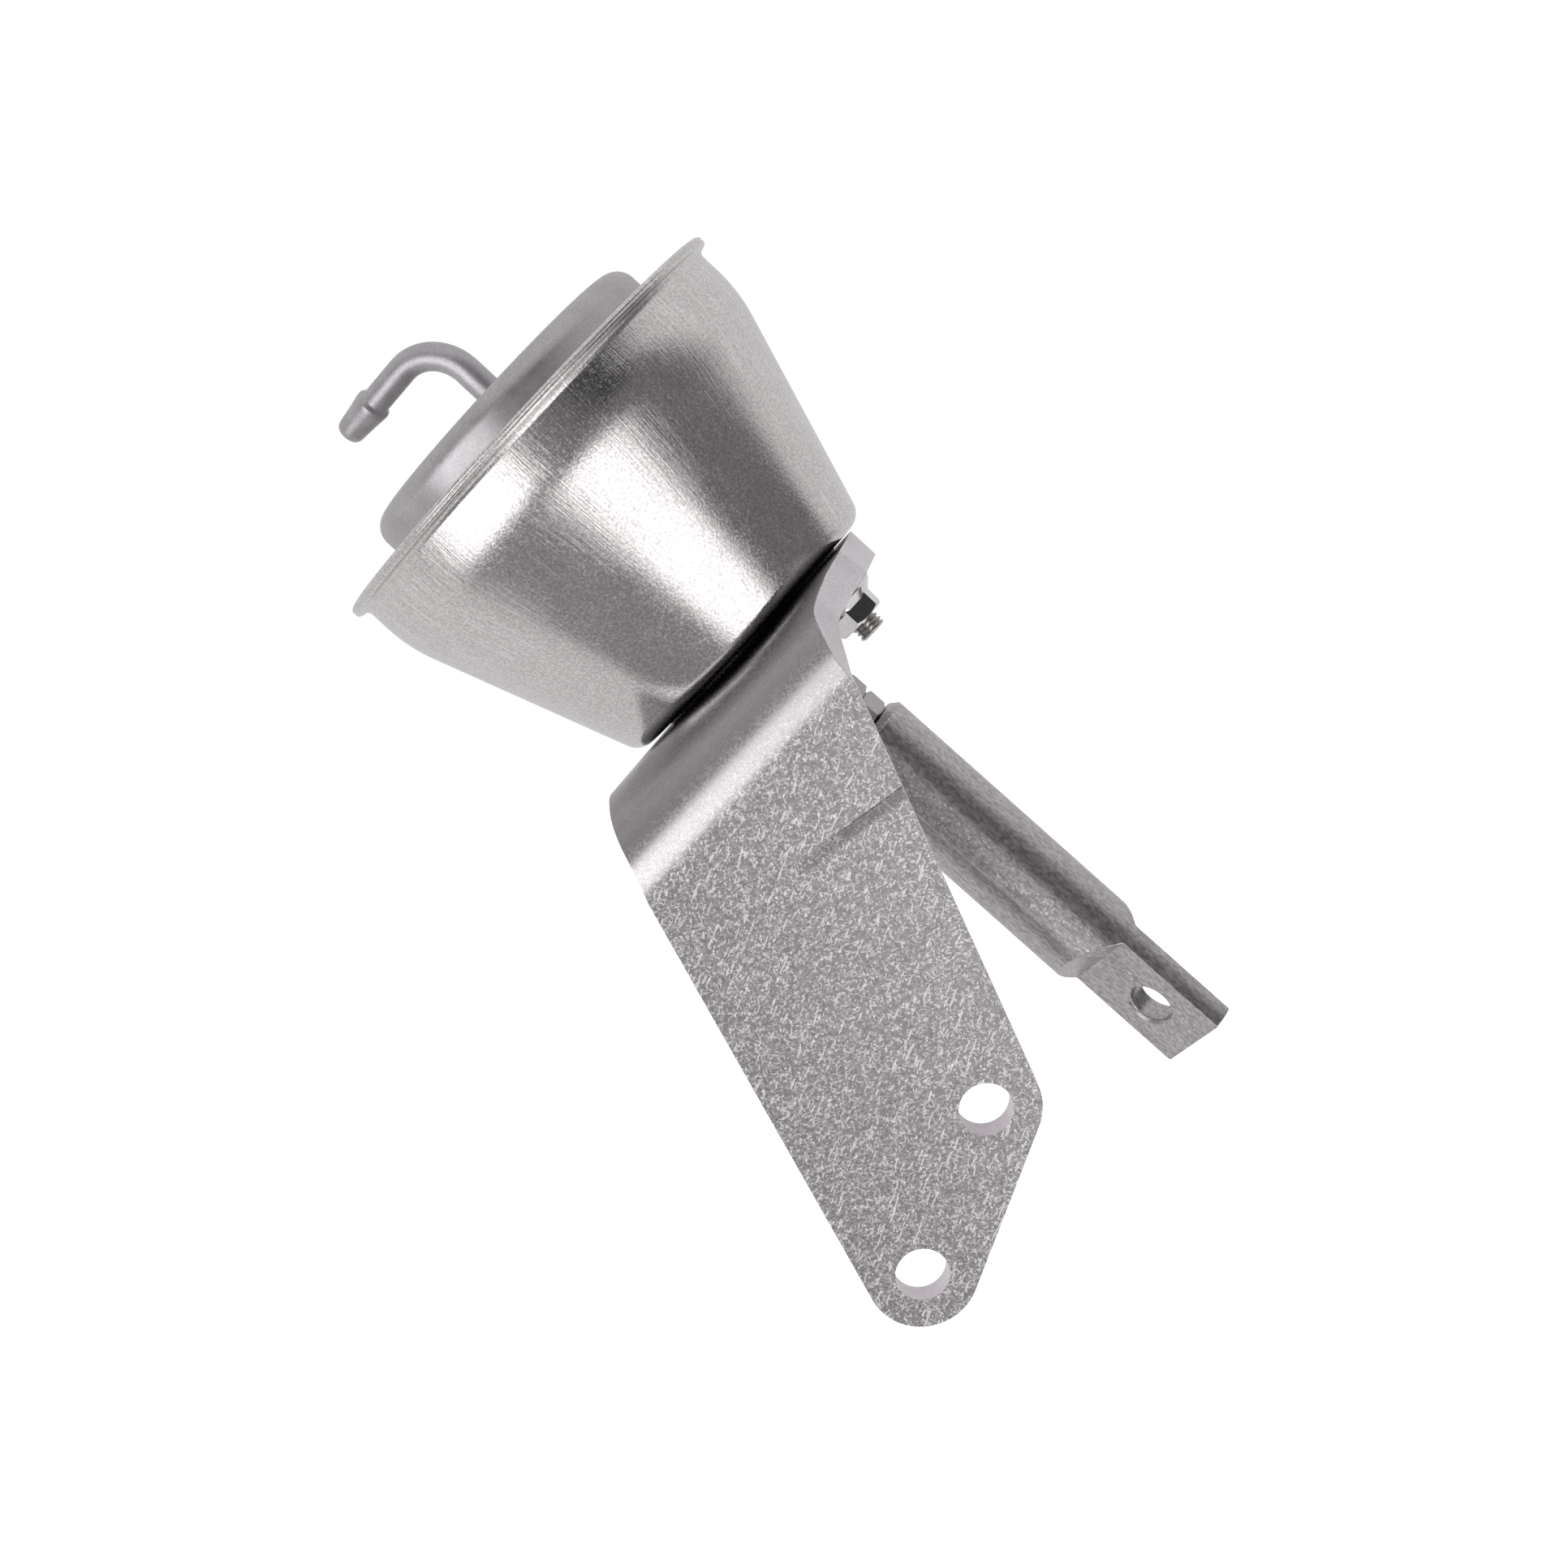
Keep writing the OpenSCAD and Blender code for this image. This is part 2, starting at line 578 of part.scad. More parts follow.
// Hexagonal nut on a round collar, upside down on the XY plane
module collar_nut() {
    corner_r = nut_af / 2 / cos(30);
    difference() {
        union() {
            translate([0, 0, -0.7]) cylinder(r = collar_r, h = 0.7);
            translate([0, 0, -2]) cylinder(r1 = nut_af / 2 + 0.25, r2 = collar_r - 0.25, h = 1.3);
            intersection() {
                translate([0, 0, -nut_h]) cylinder(r = corner_r, h = nut_h, $fn = 6);
                rotate_extrude() polygon([[0, -nut_h], [nut_af / 2 - 0.05, -nut_h],
                    [corner_r + 0.05, -nut_h + 0.5], [corner_r + 0.05, 0], [0, 0]]);
            }
        }
        translate([0, 0, -nut_h - 1]) cylinder(r = stud_r + running, h = nut_h + 2);
        translate([0, 0, -nut_h - 0.01]) cylinder(r1 = stud_r + 0.4, r2 = stud_r, h = 0.4);
    }
}

// Collar nuts on the two studs
module stud_nuts() color("#d9d8d5") placed()
    for (i = [0, 1]) translate([(2 * i - 1) * stud_x, 0, flange_under - washer_t])
        rotate([0, 0, nut_angles[i]]) collar_nut();

// Two jam nuts that lock the rod end
module jam_nuts() color("#8d8c8a") placed() for (i = [0, 1])
    down_rod(end_top - 0.05 - i * (jam_nut_h + 0.05))
        rotate([0, 0, jam_nut_turn + i * upper_nut_angle])
        hex_nut(rod_nut_af, jam_nut_h, rod_r + running);

// Round rod end with a milled tongue and an eye
module rod_end() color("#a5a4a2") placed() down_rod(end_tip) {
    length = end_tip - end_top;
    ramp = (end_r - tongue_t / 2) / tan(runout_angle);
    difference() {
        rotate_extrude() polygon([[0, 0], [end_r - 0.3, 0], [end_r, 0.3], [end_r, length - 1.1],
            [end_r - 1.2, length], [0, length]]);
        rotate([0, 0, tongue_angle]) {
            for (s = [0, 1]) mirror([s, 0, 0]) rotate([90, 0, 0]) linear_extrude(40, center = true)
                polygon([[tongue_t / 2, -1], [tongue_t / 2, tongue_len],
                    [end_r + 1, tongue_len + ramp + 1 / tan(runout_angle)], [end_r + 1, -1]]);
            translate([0, 0, eye_to_tip]) rotate([0, 90, 0]) {
                cylinder(r = eye_r, h = 40, center = true);
                for (s = [0, 1]) mirror([0, 0, s]) translate([0, 0, tongue_t / 2 - eye_chamfer])
                    cylinder(r1 = eye_r, r2 = eye_r + 1, h = 1);
            }
        }
        translate([0, 0, length - tapped_depth]) cylinder(r = rod_r + running, h = tapped_depth + 1);
        translate([0, 0, length - 0.6]) cylinder(r1 = rod_r, r2 = rod_r + 1.2, h = 1.2);
    }
}

can();
cap();
hose_nipple();
braze_ring();
diaphragm();
stop_cup();
piston();
rod_lock_washer();
rod_top_nut();
rod_lower_nut();
spring();
spring_seat();
stud_plate();
studs();
guide_bush();
rod();
bracket();
stud_washers();
stud_nuts();
jam_nuts();
rod_end();
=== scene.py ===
import math
from functools import partial

import bmesh
import bpy
import numpy as np
from mathutils import Matrix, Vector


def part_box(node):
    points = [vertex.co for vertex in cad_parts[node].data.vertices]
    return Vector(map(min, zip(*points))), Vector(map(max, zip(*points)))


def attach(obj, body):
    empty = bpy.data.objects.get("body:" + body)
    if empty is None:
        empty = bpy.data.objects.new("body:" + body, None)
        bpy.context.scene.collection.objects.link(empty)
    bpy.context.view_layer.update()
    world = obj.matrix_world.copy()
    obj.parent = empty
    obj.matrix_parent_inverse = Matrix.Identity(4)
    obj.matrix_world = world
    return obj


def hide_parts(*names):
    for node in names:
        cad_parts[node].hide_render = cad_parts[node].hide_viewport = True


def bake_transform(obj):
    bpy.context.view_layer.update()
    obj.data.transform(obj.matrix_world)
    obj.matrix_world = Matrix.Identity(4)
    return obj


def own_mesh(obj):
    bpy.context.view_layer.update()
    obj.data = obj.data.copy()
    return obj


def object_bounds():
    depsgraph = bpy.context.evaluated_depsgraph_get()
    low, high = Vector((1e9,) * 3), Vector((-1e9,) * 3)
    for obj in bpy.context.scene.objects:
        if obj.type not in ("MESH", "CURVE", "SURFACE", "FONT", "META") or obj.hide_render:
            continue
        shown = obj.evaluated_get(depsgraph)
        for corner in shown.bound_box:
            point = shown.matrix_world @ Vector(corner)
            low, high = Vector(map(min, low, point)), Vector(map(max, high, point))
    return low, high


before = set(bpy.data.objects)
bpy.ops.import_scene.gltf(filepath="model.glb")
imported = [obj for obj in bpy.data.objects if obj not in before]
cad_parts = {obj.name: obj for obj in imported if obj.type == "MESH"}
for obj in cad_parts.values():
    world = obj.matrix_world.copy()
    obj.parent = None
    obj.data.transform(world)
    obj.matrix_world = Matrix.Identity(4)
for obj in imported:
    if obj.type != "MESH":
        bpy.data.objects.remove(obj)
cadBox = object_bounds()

# Pneumatic wastegate actuator. Lengths are millimetres in the canister's own frame: its axis is
# z, and z is 0 at the can's bottom. Points are turned to metres in the row frame when a mesh is
# made.

canShape = dict(
    rimR=41.05, rimZ=48.85, rimFill=0.31, overhang=1.9, sheet=0.45, hemR=0.62, hemReach=2.7,
    grooveDepth=0.16, grooveWidth=0.21, coneAngle=18.65, shoulderR=28.0, neckH=5.15,
    coneFrom=4.0, cornerR=3.5, padH=0.6, padSlope=0.6, floorToPad=4.4, hubR=5.15, edgeR=0.12,
    segments=288)

# The middle of the can's box, and its bottom, give the place of the axis in millimetres
canLow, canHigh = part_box("can")
canOrigin = np.array([
    500 * (canLow.x + canHigh.x), 500 * (canLow.y + canHigh.y),
    1000 * canLow.z + canShape["padH"]])


def toRow(points):
    # Millimetres in the canister's frame to metres in the row frame
    return (np.asarray(points, float) + canOrigin) / 1000


def rowHeight(z):
    # Height in the canister's frame, in mm, to the row frame's z in metres
    return (z + canOrigin[2]) / 1000


# Colours and nodes

def linearColour(code):
    # sRGB hex to linear: below 0.04045 divided by 12.92, above it the 2.4 power curve
    channels = [int(code[i:i + 2], 16) / 255 for i in (1, 3, 5)]
    return [c / 12.92 if c <= 0.04045 else ((c + 0.055) / 1.055) ** 2.4 for c in channels] + [1.0]


# Short names of the nodes used most: Blender's own name, its sockets in order with the values that
# they have when none are given, and its settings
nodeKinds = {name: ("Math", {0: 0.0, 1: 0.0}, dict(operation=name.upper())) for name in (
    "add", "subtract", "multiply", "maximum", "minimum", "power", "arctan2", "arcsine")}
nodeKinds["ramp"] = ("MapRange", {
    "Value": 0.0, "From Min": 0.0, "From Max": 1.0, "To Min": 0.0, "To Max": 1.0},
    dict(interpolation_type="SMOOTHSTEP"))
nodeKinds["mix"] = ("Mix", {0: 0.5, 6: (0, 0, 0, 1), 7: (1, 1, 1, 1)},
                    dict(data_type="RGBA", output=2))
nodeKinds["noise"] = ("TexNoise", {
    "Vector": (0, 0, 0), "Scale": 1.0, "Detail": 3.0, "Roughness": 0.6, "Distortion": 0.0}, {})


def addNode(tree, kind, *values, **settings):
    # One node with its values, links and settings: a socket as a value is linked. Any other node
    # than the above gets one dictionary of values. Gives the output socket that is asked for
    name, sockets, preset = nodeKinds.get(kind, (kind, {}, {}))
    node = tree.nodes.new("ShaderNode" + name)
    settings = {**preset, **settings}
    output = settings.pop("output", 0)
    for key, value in settings.items():
        setattr(node, key, value)
    given = dict(zip(sockets, values)) if sockets else dict(*values)
    for key, value in {**sockets, **given}.items():
        if isinstance(value, bpy.types.NodeSocket):
            tree.links.new(value, node.inputs[key])
        else:
            node.inputs[key].default_value = value
    return node.outputs[output] if len(node.outputs) else node


def perMm(size):
    # Noise scale that makes features of that size in millimetres
    return 1000.0 / size


def startMaterial(name, metallic, roughness):
    # The material, addNode for its tree, its shader and a place on the piece
    material = bpy.data.materials.new(name)
    material.use_nodes = True
    add = partial(addNode, material.node_tree)
    shader = material.node_tree.nodes["Principled BSDF"]
    shader.inputs["Metallic"].default_value = metallic
    shader.inputs["Roughness"].default_value = roughness
    return material, add, shader, add("TexCoord", output="Object")


def inRadians(degrees):
    return [math.radians(angle) for angle in degrees]


def inMetres(lengths):
    return [length / 1000 for length in lengths]


def rowHeights(heights):
    return [rowHeight(z) for z in heights]


def softMask(add, angle, span, soft):
    # Rises over one softness at the first angle and falls over one at the second
    rise = add("ramp", angle, *inRadians((span[0] - soft, span[0] + soft)))
    fall = add("ramp", angle, *inRadians((span[1] - soft, span[1] + soft)), 1.0, 0.0)
    return add("multiply", rise, fall)


def dressShader(shader, base, rough, heights):
    # Colour, roughness, and bumps one on top of the other: each is a height socket, its depth in
    # mm and its strength
    tree = shader.id_data
    tree.links.new(base, shader.inputs["Base Color"])
    if rough is not None:
        tree.links.new(rough, shader.inputs["Roughness"])
    normal = None
    for height, depth, strength in heights:
        values = {"Height": height, "Distance": depth / 1000, "Strength": strength}
        if normal is not None:
            values["Normal"] = normal
        normal = addNode(tree, "Bump", values)
    tree.links.new(normal, shader.inputs["Normal"])


# Meshes

def flipIfInside(points, faces):
    # Signed volume of the closed surface: negative means that the faces point inwards
    p = points[faces]
    triangles = np.concatenate([p[:, [0, 1, 2]], p[:, [0, 2, 3]]])
    volume = np.einsum("ij,ij->i", triangles[:, 0],
                       np.cross(triangles[:, 1], triangles[:, 2])).sum()
    return faces[:, ::-1] if volume < 0 else faces


def gridPiece(name, grid, closeRows, material, sharpAngle=40):
    # A grid of rings of points (rows, around, 3): around is closed, rows may be closed too.
    # Open rows end in poles, whose rings have shrunk to one point and are merged.
    rows, around = grid.shape[:2]
    points = toRow(grid.reshape(-1, 3))
    i = np.arange(rows if closeRows else rows - 1)[:, None]
    j = np.arange(around)[None, :]
    nextRow = (i + 1) % rows
    nextSpot = (j + 1) % around
    faces = np.stack([i * around + j, i * around + nextSpot,
                      nextRow * around + nextSpot, nextRow * around + j], -1).reshape(-1, 4)
    faces = flipIfInside(points, faces)
    mesh = bpy.data.meshes.new(name)
    mesh.from_pydata(points, [], faces)
    if not closeRows:
        work = bmesh.new()
        work.from_mesh(mesh)
        bmesh.ops.remove_doubles(work, verts=work.verts, dist=1e-7)
        bmesh.ops.dissolve_degenerate(work, edges=work.edges, dist=1e-8)
        work.to_mesh(mesh)
        work.free()
    mesh.shade_smooth()
    mesh.set_sharp_from_angle(angle=math.radians(sharpAngle))
    mesh.materials.append(material)
    piece = bpy.data.objects.new(name, mesh)
    bpy.context.scene.collection.objects.link(piece)
    return piece


def arc(centre, radius, first, last, steps):
    angles = np.radians(np.linspace(first, last, steps))
    return np.stack([centre[0] + radius * np.cos(angles), centre[1] + radius * np.sin(angles)], -1)


def besidePath(path, thickness):
    # The path moved to its left by the thickness, with mitred corners
    step = np.diff(path, axis=0)
    normal = np.stack([-step[:, 1], step[:, 0]], -1) / np.linalg.norm(step, axis=1)[:, None]
    before = np.vstack([normal[:1], normal])
    after = np.vstack([normal, normal[-1:]])
    both = before + after
    return path + both * 2 * thickness / (both ** 2).sum(1)[:, None]


def sheetProfile(path, thickness):
    # Closed section of a sheet: the path out and its offset back
    return np.vstack([path, besidePath(path, thickness)[::-1]])


def revolved(profile, segments):
    # Surface of revolution: x = r cos a, y = r sin a, z = z, for every profile point and angle
    a = np.linspace(0, 2 * np.pi, segments, endpoint=False)
    r, z = profile[:, :1], profile[:, 1:]
    return np.stack([r * np.cos(a), r * np.sin(a), z + 0 * a], -1)


def rounded(profile, radius, steps=4):
    # Closed profile with each sharp corner cut to a small arc, as a quadratic curve
    before = np.roll(profile, 1, 0)
    after = np.roll(profile, -1, 0)
    inStep, outStep = before - profile, after - profile
    inLength = np.linalg.norm(inStep, axis=1)
    outLength = np.linalg.norm(outStep, axis=1)
    cosine = (inStep * outStep).sum(1) / (inLength * outLength)
    sharp = cosine > -0.8
    cut = np.minimum(radius, 0.45 * np.minimum(inLength, outLength))[:, None]
    start = profile + inStep / inLength[:, None] * cut
    end = profile + outStep / outLength[:, None] * cut
    t = np.linspace(0, 1, steps)[None, :, None]
    curve = ((1 - t) ** 2 * start[:, None] + 2 * t * (1 - t) * profile[:, None]
             + t ** 2 * end[:, None])
    curve = np.where(sharp[:, None, None], curve, profile[:, None])
    return curve[sharp[:, None] | (np.arange(steps) == 0)]


def alongPath(centres, sides, ups, radii, around):
    # A ring carried along a path: centre + r (cos a side + sin a up). radii is (rows, around)
    a = np.linspace(0, 2 * np.pi, around, endpoint=False)[None, :, None]
    ring = np.cos(a) * sides[:, None] + np.sin(a) * ups[:, None]
    return centres[:, None] + ring * radii[..., None]


def mergedCopy(node, name, materials, chooseSlot=None, bevel=0.2, segments=2, angle=32,
               bevelSlot=-1):
    # The node's own mesh with its doubles merged and flat faces joined, and its edges broken by
    # a bevel, so that they catch the light as real edges do
    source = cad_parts[node].data
    count = len(source.vertices)
    spots = np.empty(count * 3, np.float32)
    source.vertices.foreach_get("co", spots)
    source.calc_loop_triangles()
    corners = np.empty(len(source.loop_triangles) * 3, np.int32)
    source.loop_triangles.foreach_get("vertices", corners)
    mesh = bpy.data.meshes.new(name)
    mesh.from_pydata(spots.reshape(-1, 3), [], corners.reshape(-1, 3))
    work = bmesh.new()
    work.from_mesh(mesh)
    bmesh.ops.remove_doubles(work, verts=work.verts, dist=2e-6)
    bmesh.ops.dissolve_limit(work, angle_limit=math.radians(0.6), verts=work.verts,
                             edges=work.edges)
    work.to_mesh(mesh)
    work.free()
    for material in materials:
        mesh.materials.append(material)
    if chooseSlot is not None:
        centres = np.empty(len(mesh.polygons) * 3, np.float32)
        normals = np.empty(len(mesh.polygons) * 3, np.float32)
        mesh.polygons.foreach_get("center", centres)
        mesh.polygons.foreach_get("normal", normals)
        slots = chooseSlot(centres.reshape(-1, 3) * 1000 - canOrigin, normals.reshape(-1, 3))
        mesh.polygons.foreach_set("material_index", slots.astype(np.int32))
    mesh.shade_smooth()
    mesh.set_sharp_from_angle(angle=math.radians(angle))
    piece = bpy.data.objects.new(name, mesh)
    bpy.context.scene.collection.objects.link(piece)
    edges = piece.modifiers.new("brokenEdges", "BEVEL")
    edges.width = bevel / 1000
    edges.segments = segments
    edges.limit_method = "ANGLE"
    edges.angle_limit = math.radians(angle)
    edges.miter_outer = "MITER_ARC"
    edges.harden_normals = True
    edges.material = bevelSlot
    return piece


def seat(piece, body, slotName, *nodes):
    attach(piece, body)
    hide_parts(*nodes)


# The rod's set: below it the rod and its end lean a little

rodShape = dict(r=3.175, setDepth=8.0, setAngle=1.82, setCompass=53.3, pitch=0.907,
                reliefR=2.625, reliefLen=1.6, threadEnd=40.14, topThread=39.4, top=54.2,
                tipCut=0.6, topFade=(0.3, 0.8), lowFade=(0.6, 0.4), reliefStep=0.1,
                threadGap=0.3, topGap=0.2, endEdge=0.5, around=72)


def rodFrame():
    # The turn of the rod below its set: a tilt towards the set's compass angle
    tilt, compass = math.radians(rodShape["setAngle"]), math.radians(rodShape["setCompass"])
    turn = Matrix.Rotation(compass, 3, "Z") @ Matrix.Rotation(-tilt, 3, "Y") \
        @ Matrix.Rotation(-compass, 3, "Z")
    return np.array(turn)


rodTurn = rodFrame()
rodDown = rodTurn @ np.array([0, 0, -1.0])


# Materials, each named for the real one

# In every look a band is the pair of noise values between which its pattern comes in
drawnSheetLook = dict(
    light="#e8e6e4", dark="#cbc8c7", line="#f8f6f4", scratch="#ffffff", pit="#77757a",
    roughness=0.13, roughnessSpread=0.06, blotchSize=7.0, blotchBand=(0.3, 0.7),
    speckSize=0.4, speckBand=(0.45, 0.7), speckRoughness=0.16,
    grainSize=0.45, grainBand=(0.38, 0.66), grainDepth=0.022,
    lineSize=0.3, lineStretch=0.025, lineBand=(0.52, 0.68), lineShare=0.8, lineDepth=0.046,
    drawn=(12.0, 34.0), drawnLeft=0.1, scratchSize=0.5, scratchBand=(0.66, 0.74),
    patchSize=9.0, patchBand=(0.45, 0.65), pitSize=0.7, pitBand=(0.2, 0.27), pitShare=0.5,
    waveSize=16.0, waveDepth=0.014)


def zincPlatedSteelDrawn():
    # Deep drawn, zinc plated sheet: a bright skin whose fine grain breaks the reflections up,
    # with lines along the draw near the rim, where the die pulled the sheet
    look = drawnSheetLook
    material, add, shader, place = startMaterial("zincPlatedSteelDrawn", 1.0, look["roughness"])
    local = add("VectorMath", {0: place, 1: list(canOrigin / 1000)}, operation="SUBTRACT")
    x, y, z = add("SeparateXYZ", {0: local}).node.outputs
    angle = add("arctan2", x, add("multiply", y, -1.0))
    arcLength = add("multiply", angle, canShape["rimR"] / 1000)
    stretched = add("multiply", z, look["lineStretch"])
    lineSpot = add("CombineXYZ", {0: arcLength, 1: stretched})
    lines = add("noise", lineSpot, perMm(look["lineSize"]), 2.0, 0.7)
    nearRim = add("ramp", z, *inMetres(look["drawn"]), look["drawnLeft"], 1.0)
    fewScratches = add("noise", lineSpot, perMm(look["scratchSize"]), 1.0)
    fewScratches = add("ramp", fewScratches, *look["scratchBand"])
    patches = add("noise", local, perMm(look["patchSize"]))
    patches = add("ramp", patches, *look["patchBand"])
    scratches = add("multiply", fewScratches, patches)
    # Real grain is near 0.1 mm: drawn at 0.45 mm, as coarse as the render needs to show it
    grain = add("noise", local, perMm(look["grainSize"]), 2.0, 0.6)
    fleck = add("ramp", grain, *look["grainBand"])
    base = add("mix", fleck, linearColour(look["dark"]), linearColour(look["light"]))
    pits = add("noise", local, perMm(look["pitSize"]), 1.0)
    pits = add("ramp", pits, *look["pitBand"], 1.0, 0.0)
    base = add("mix", add("multiply", pits, look["pitShare"]), base, linearColour(look["pit"]))
    lineTone = add("ramp", lines, *look["lineBand"], 0.0, look["lineShare"])
    lineTone = add("multiply", lineTone, nearRim)
    base = add("mix", lineTone, base, linearColour(look["line"]))
    base = add("mix", scratches, base, linearColour(look["scratch"]))
    blotch = add("noise", local, perMm(look["blotchSize"]), 2.0)
    rough = add("ramp", blotch, *look["blotchBand"], look["roughness"],
                look["roughness"] + look["roughnessSpread"])
    specks = add("noise", local, perMm(look["speckSize"]), 1.0)
    rough = add("add", rough, add("ramp", specks, *look["speckBand"], 0.0,
                                  look["speckRoughness"]))
    lineHeight = add("multiply", lines, nearRim)
    dressShader(shader, base, rough, [
        (add("noise", local, perMm(look["waveSize"]), 1.0), look["waveDepth"], 1.0),
        (grain, look["grainDepth"], 1.0),
        (lineHeight, look["lineDepth"], 1.0)])
    return material


plateLook = dict(
    light="#faf8f7", dark="#a7a4a5", fleck="#ffffff", roughness=0.2, roughnessSpread=0.14,
    crystalSize=0.3, crystalDepth=0.004, sparklePower=8.0, spangleSize=0.8, spangleDepth=0.008,
    cloudBand=(0.35, 0.65), cloudShare=0.22,
    # Each set of scratches: its turn in radians, and how much wider than fibreWidth it is
    fibreSets=((0.35, 1.0), (1.15, 1.7), (2.1, 1.3), (2.75, 2.1)), fibreSize=1.5,
    fibreWidth=0.2, fibreBand=(0.66, 0.7), fibreShare=0.85, fibreDepth=0.012,
    # Heights in the canister's frame between which the bend is wiped smooth, and a band painted
    # lighter as the bend's highlight
    smooth=(-14.5, -10.5), smoothLeft=0.1, paintedHighlightTone=0.55, paintedHighlightIn=(-17.0, -13.0),
    paintedHighlightOut=(-10.0, -7.0),
    markHeight=-33.0, markHalf=1.0, markEdge=0.22, markSlope=0.19, markDepth=0.16,
    markEnd=-19.0, markFade=12.0, markFace=(1.0, 3.0), markShare=0.6, markColour="#7d7a7b",
    # The last keys paint shade into the gap under the canister: its reach from the axis, its rise,
    # its share and its dark colour
    lean=11.72, paintedShadeReach=(25.0, 31.0), paintedShadeRise=(-2.6, -1.2), paintedShadeShare=0.9,
    paintedShadeColour="#2b2929")


def galvanisedSteelPlate():
    # Hot rolled plate, galvanised and tumbled: a mottled grey full of tiny bright crystals and
    # short scratches that point every way. The die has wiped the outside of the bend smooth and
    # left the print of its edge below it. A painted highlight lightens the lower bend, and painted
    # shade darkens the gap under the canister, where the canister's shadow falls.
    look = plateLook
    material, add, shader, place = startMaterial("galvanisedSteelPlate", 1.0, look["roughness"])
    x, y, z = add("SeparateXYZ", {0: place}).node.outputs
    coarse = add("ramp", z, *rowHeights(look["smooth"]), 1.0, look["smoothLeft"])
    crystals = add("TexVoronoi", {
        "Vector": place, "Scale": perMm(look["crystalSize"])}, output="Color")
    crystal = add("SeparateColor", {0: crystals})
    # Crystals and scratches are drawn at about twice their real size, so that they show
    spangle = add("noise", place, perMm(look["spangleSize"]), 4.0, 0.75, 0.6)
    sparkle = add("power", crystal, look["sparklePower"])
    cloudy = add("ramp", spangle, *look["cloudBand"], 0.0, look["cloudShare"])
    tone = add("multiply", add("add", sparkle, cloudy), coarse)
    # Painted highlight: a lighter band across the lower bend, in place of the bend's highlight
    paintedHighlightIn = add("ramp", z, *rowHeights(look["paintedHighlightIn"]), 0.0, look["paintedHighlightTone"])
    paintedHighlightOut = add("ramp", z, *rowHeights(look["paintedHighlightOut"]), 1.0, 0.0)
    paintedHighlight = add("multiply", paintedHighlightIn, paintedHighlightOut)
    tone = add("minimum", add("add", tone, paintedHighlight), 1.0)
    base = add("mix", tone, linearColour(look["dark"]), linearColour(look["light"]))
    slanted = add("add", z, add("multiply", x, look["markSlope"]))
    markAt = rowHeight(look["markHeight"]) + look["markSlope"] * canOrigin[0] / 1000
    half, edge = look["markHalf"] / 1000, look["markEdge"] / 1000
    low, high = markAt - half, markAt + half
    mark = add("multiply", add("ramp", slanted, low - edge, low + edge),
               add("ramp", slanted, high - edge, high + edge, 1.0, 0.0))
    markEnd = (look["markEnd"] + canOrigin[0]) / 1000
    fade = add("ramp", x, markEnd, markEnd + look["markFade"] / 1000)
    mark = add("multiply", mark, fade)
    # The die touched the outer face only: the depth below that face, which holds the row's origin
    lean = math.radians(look["lean"])
    depth = add("add", add("multiply", y, math.cos(lean)), add("multiply", z, math.sin(lean)))
    onFace = add("ramp", depth, *inMetres(look["markFace"]), 1.0, 0.0)
    mark = add("multiply", mark, onFace)
    fibres = None
    for turn, spread in look["fibreSets"]:
        turned = add("Mapping", {
            "Vector": place, "Rotation": (0.0, turn, 0.0),
            "Scale": (look["fibreSize"] / look["fibreWidth"], 1.0, 1.0)}, vector_type="TEXTURE")
        streak = add("noise", turned, perMm(look["fibreWidth"] * spread), 1.0, 0.5)
        shown = add("ramp", streak, *look["fibreBand"])
        fibres = shown if fibres is None else add("maximum", fibres, shown)
    fibres = add("multiply", fibres, coarse)
    base = add("mix", add("multiply", fibres, look["fibreShare"]), base,
               linearColour(look["fleck"]))
    base = add("mix", add("multiply", mark, look["markShare"]), base,
               linearColour(look["markColour"]))
    # Painted shade: the plate is darkened near the axis and high up, in the gap under the canister
    # where its shadow falls
    fromAxis = add("CombineXYZ", {0: add("subtract", x, canOrigin[0] / 1000),
                                  1: add("subtract", y, canOrigin[1] / 1000)})
    radius = add("VectorMath", {0: fromAxis}, operation="LENGTH", output="Value")
    reach = add("ramp", radius, *inMetres(look["paintedShadeReach"]), 1.0, 0.0)
    rise = add("ramp", z, *rowHeights(look["paintedShadeRise"]), 0.0, look["paintedShadeShare"])
    paintedShade = add("multiply", reach, rise)
    base = add("mix", paintedShade, base, linearColour(look["paintedShadeColour"]))
    rough = add("ramp", crystal, 0.0, 1.0, look["roughness"],
                look["roughness"] + look["roughnessSpread"])
    dressShader(shader, base, rough, [
        (add("multiply", spangle, coarse), look["spangleDepth"], 1.0),
        (add("multiply", crystal, coarse), look["crystalDepth"], 1.0),
        (mark, look["markDepth"], 1.0),
        (fibres, look["fibreDepth"], 1.0)])
    return material


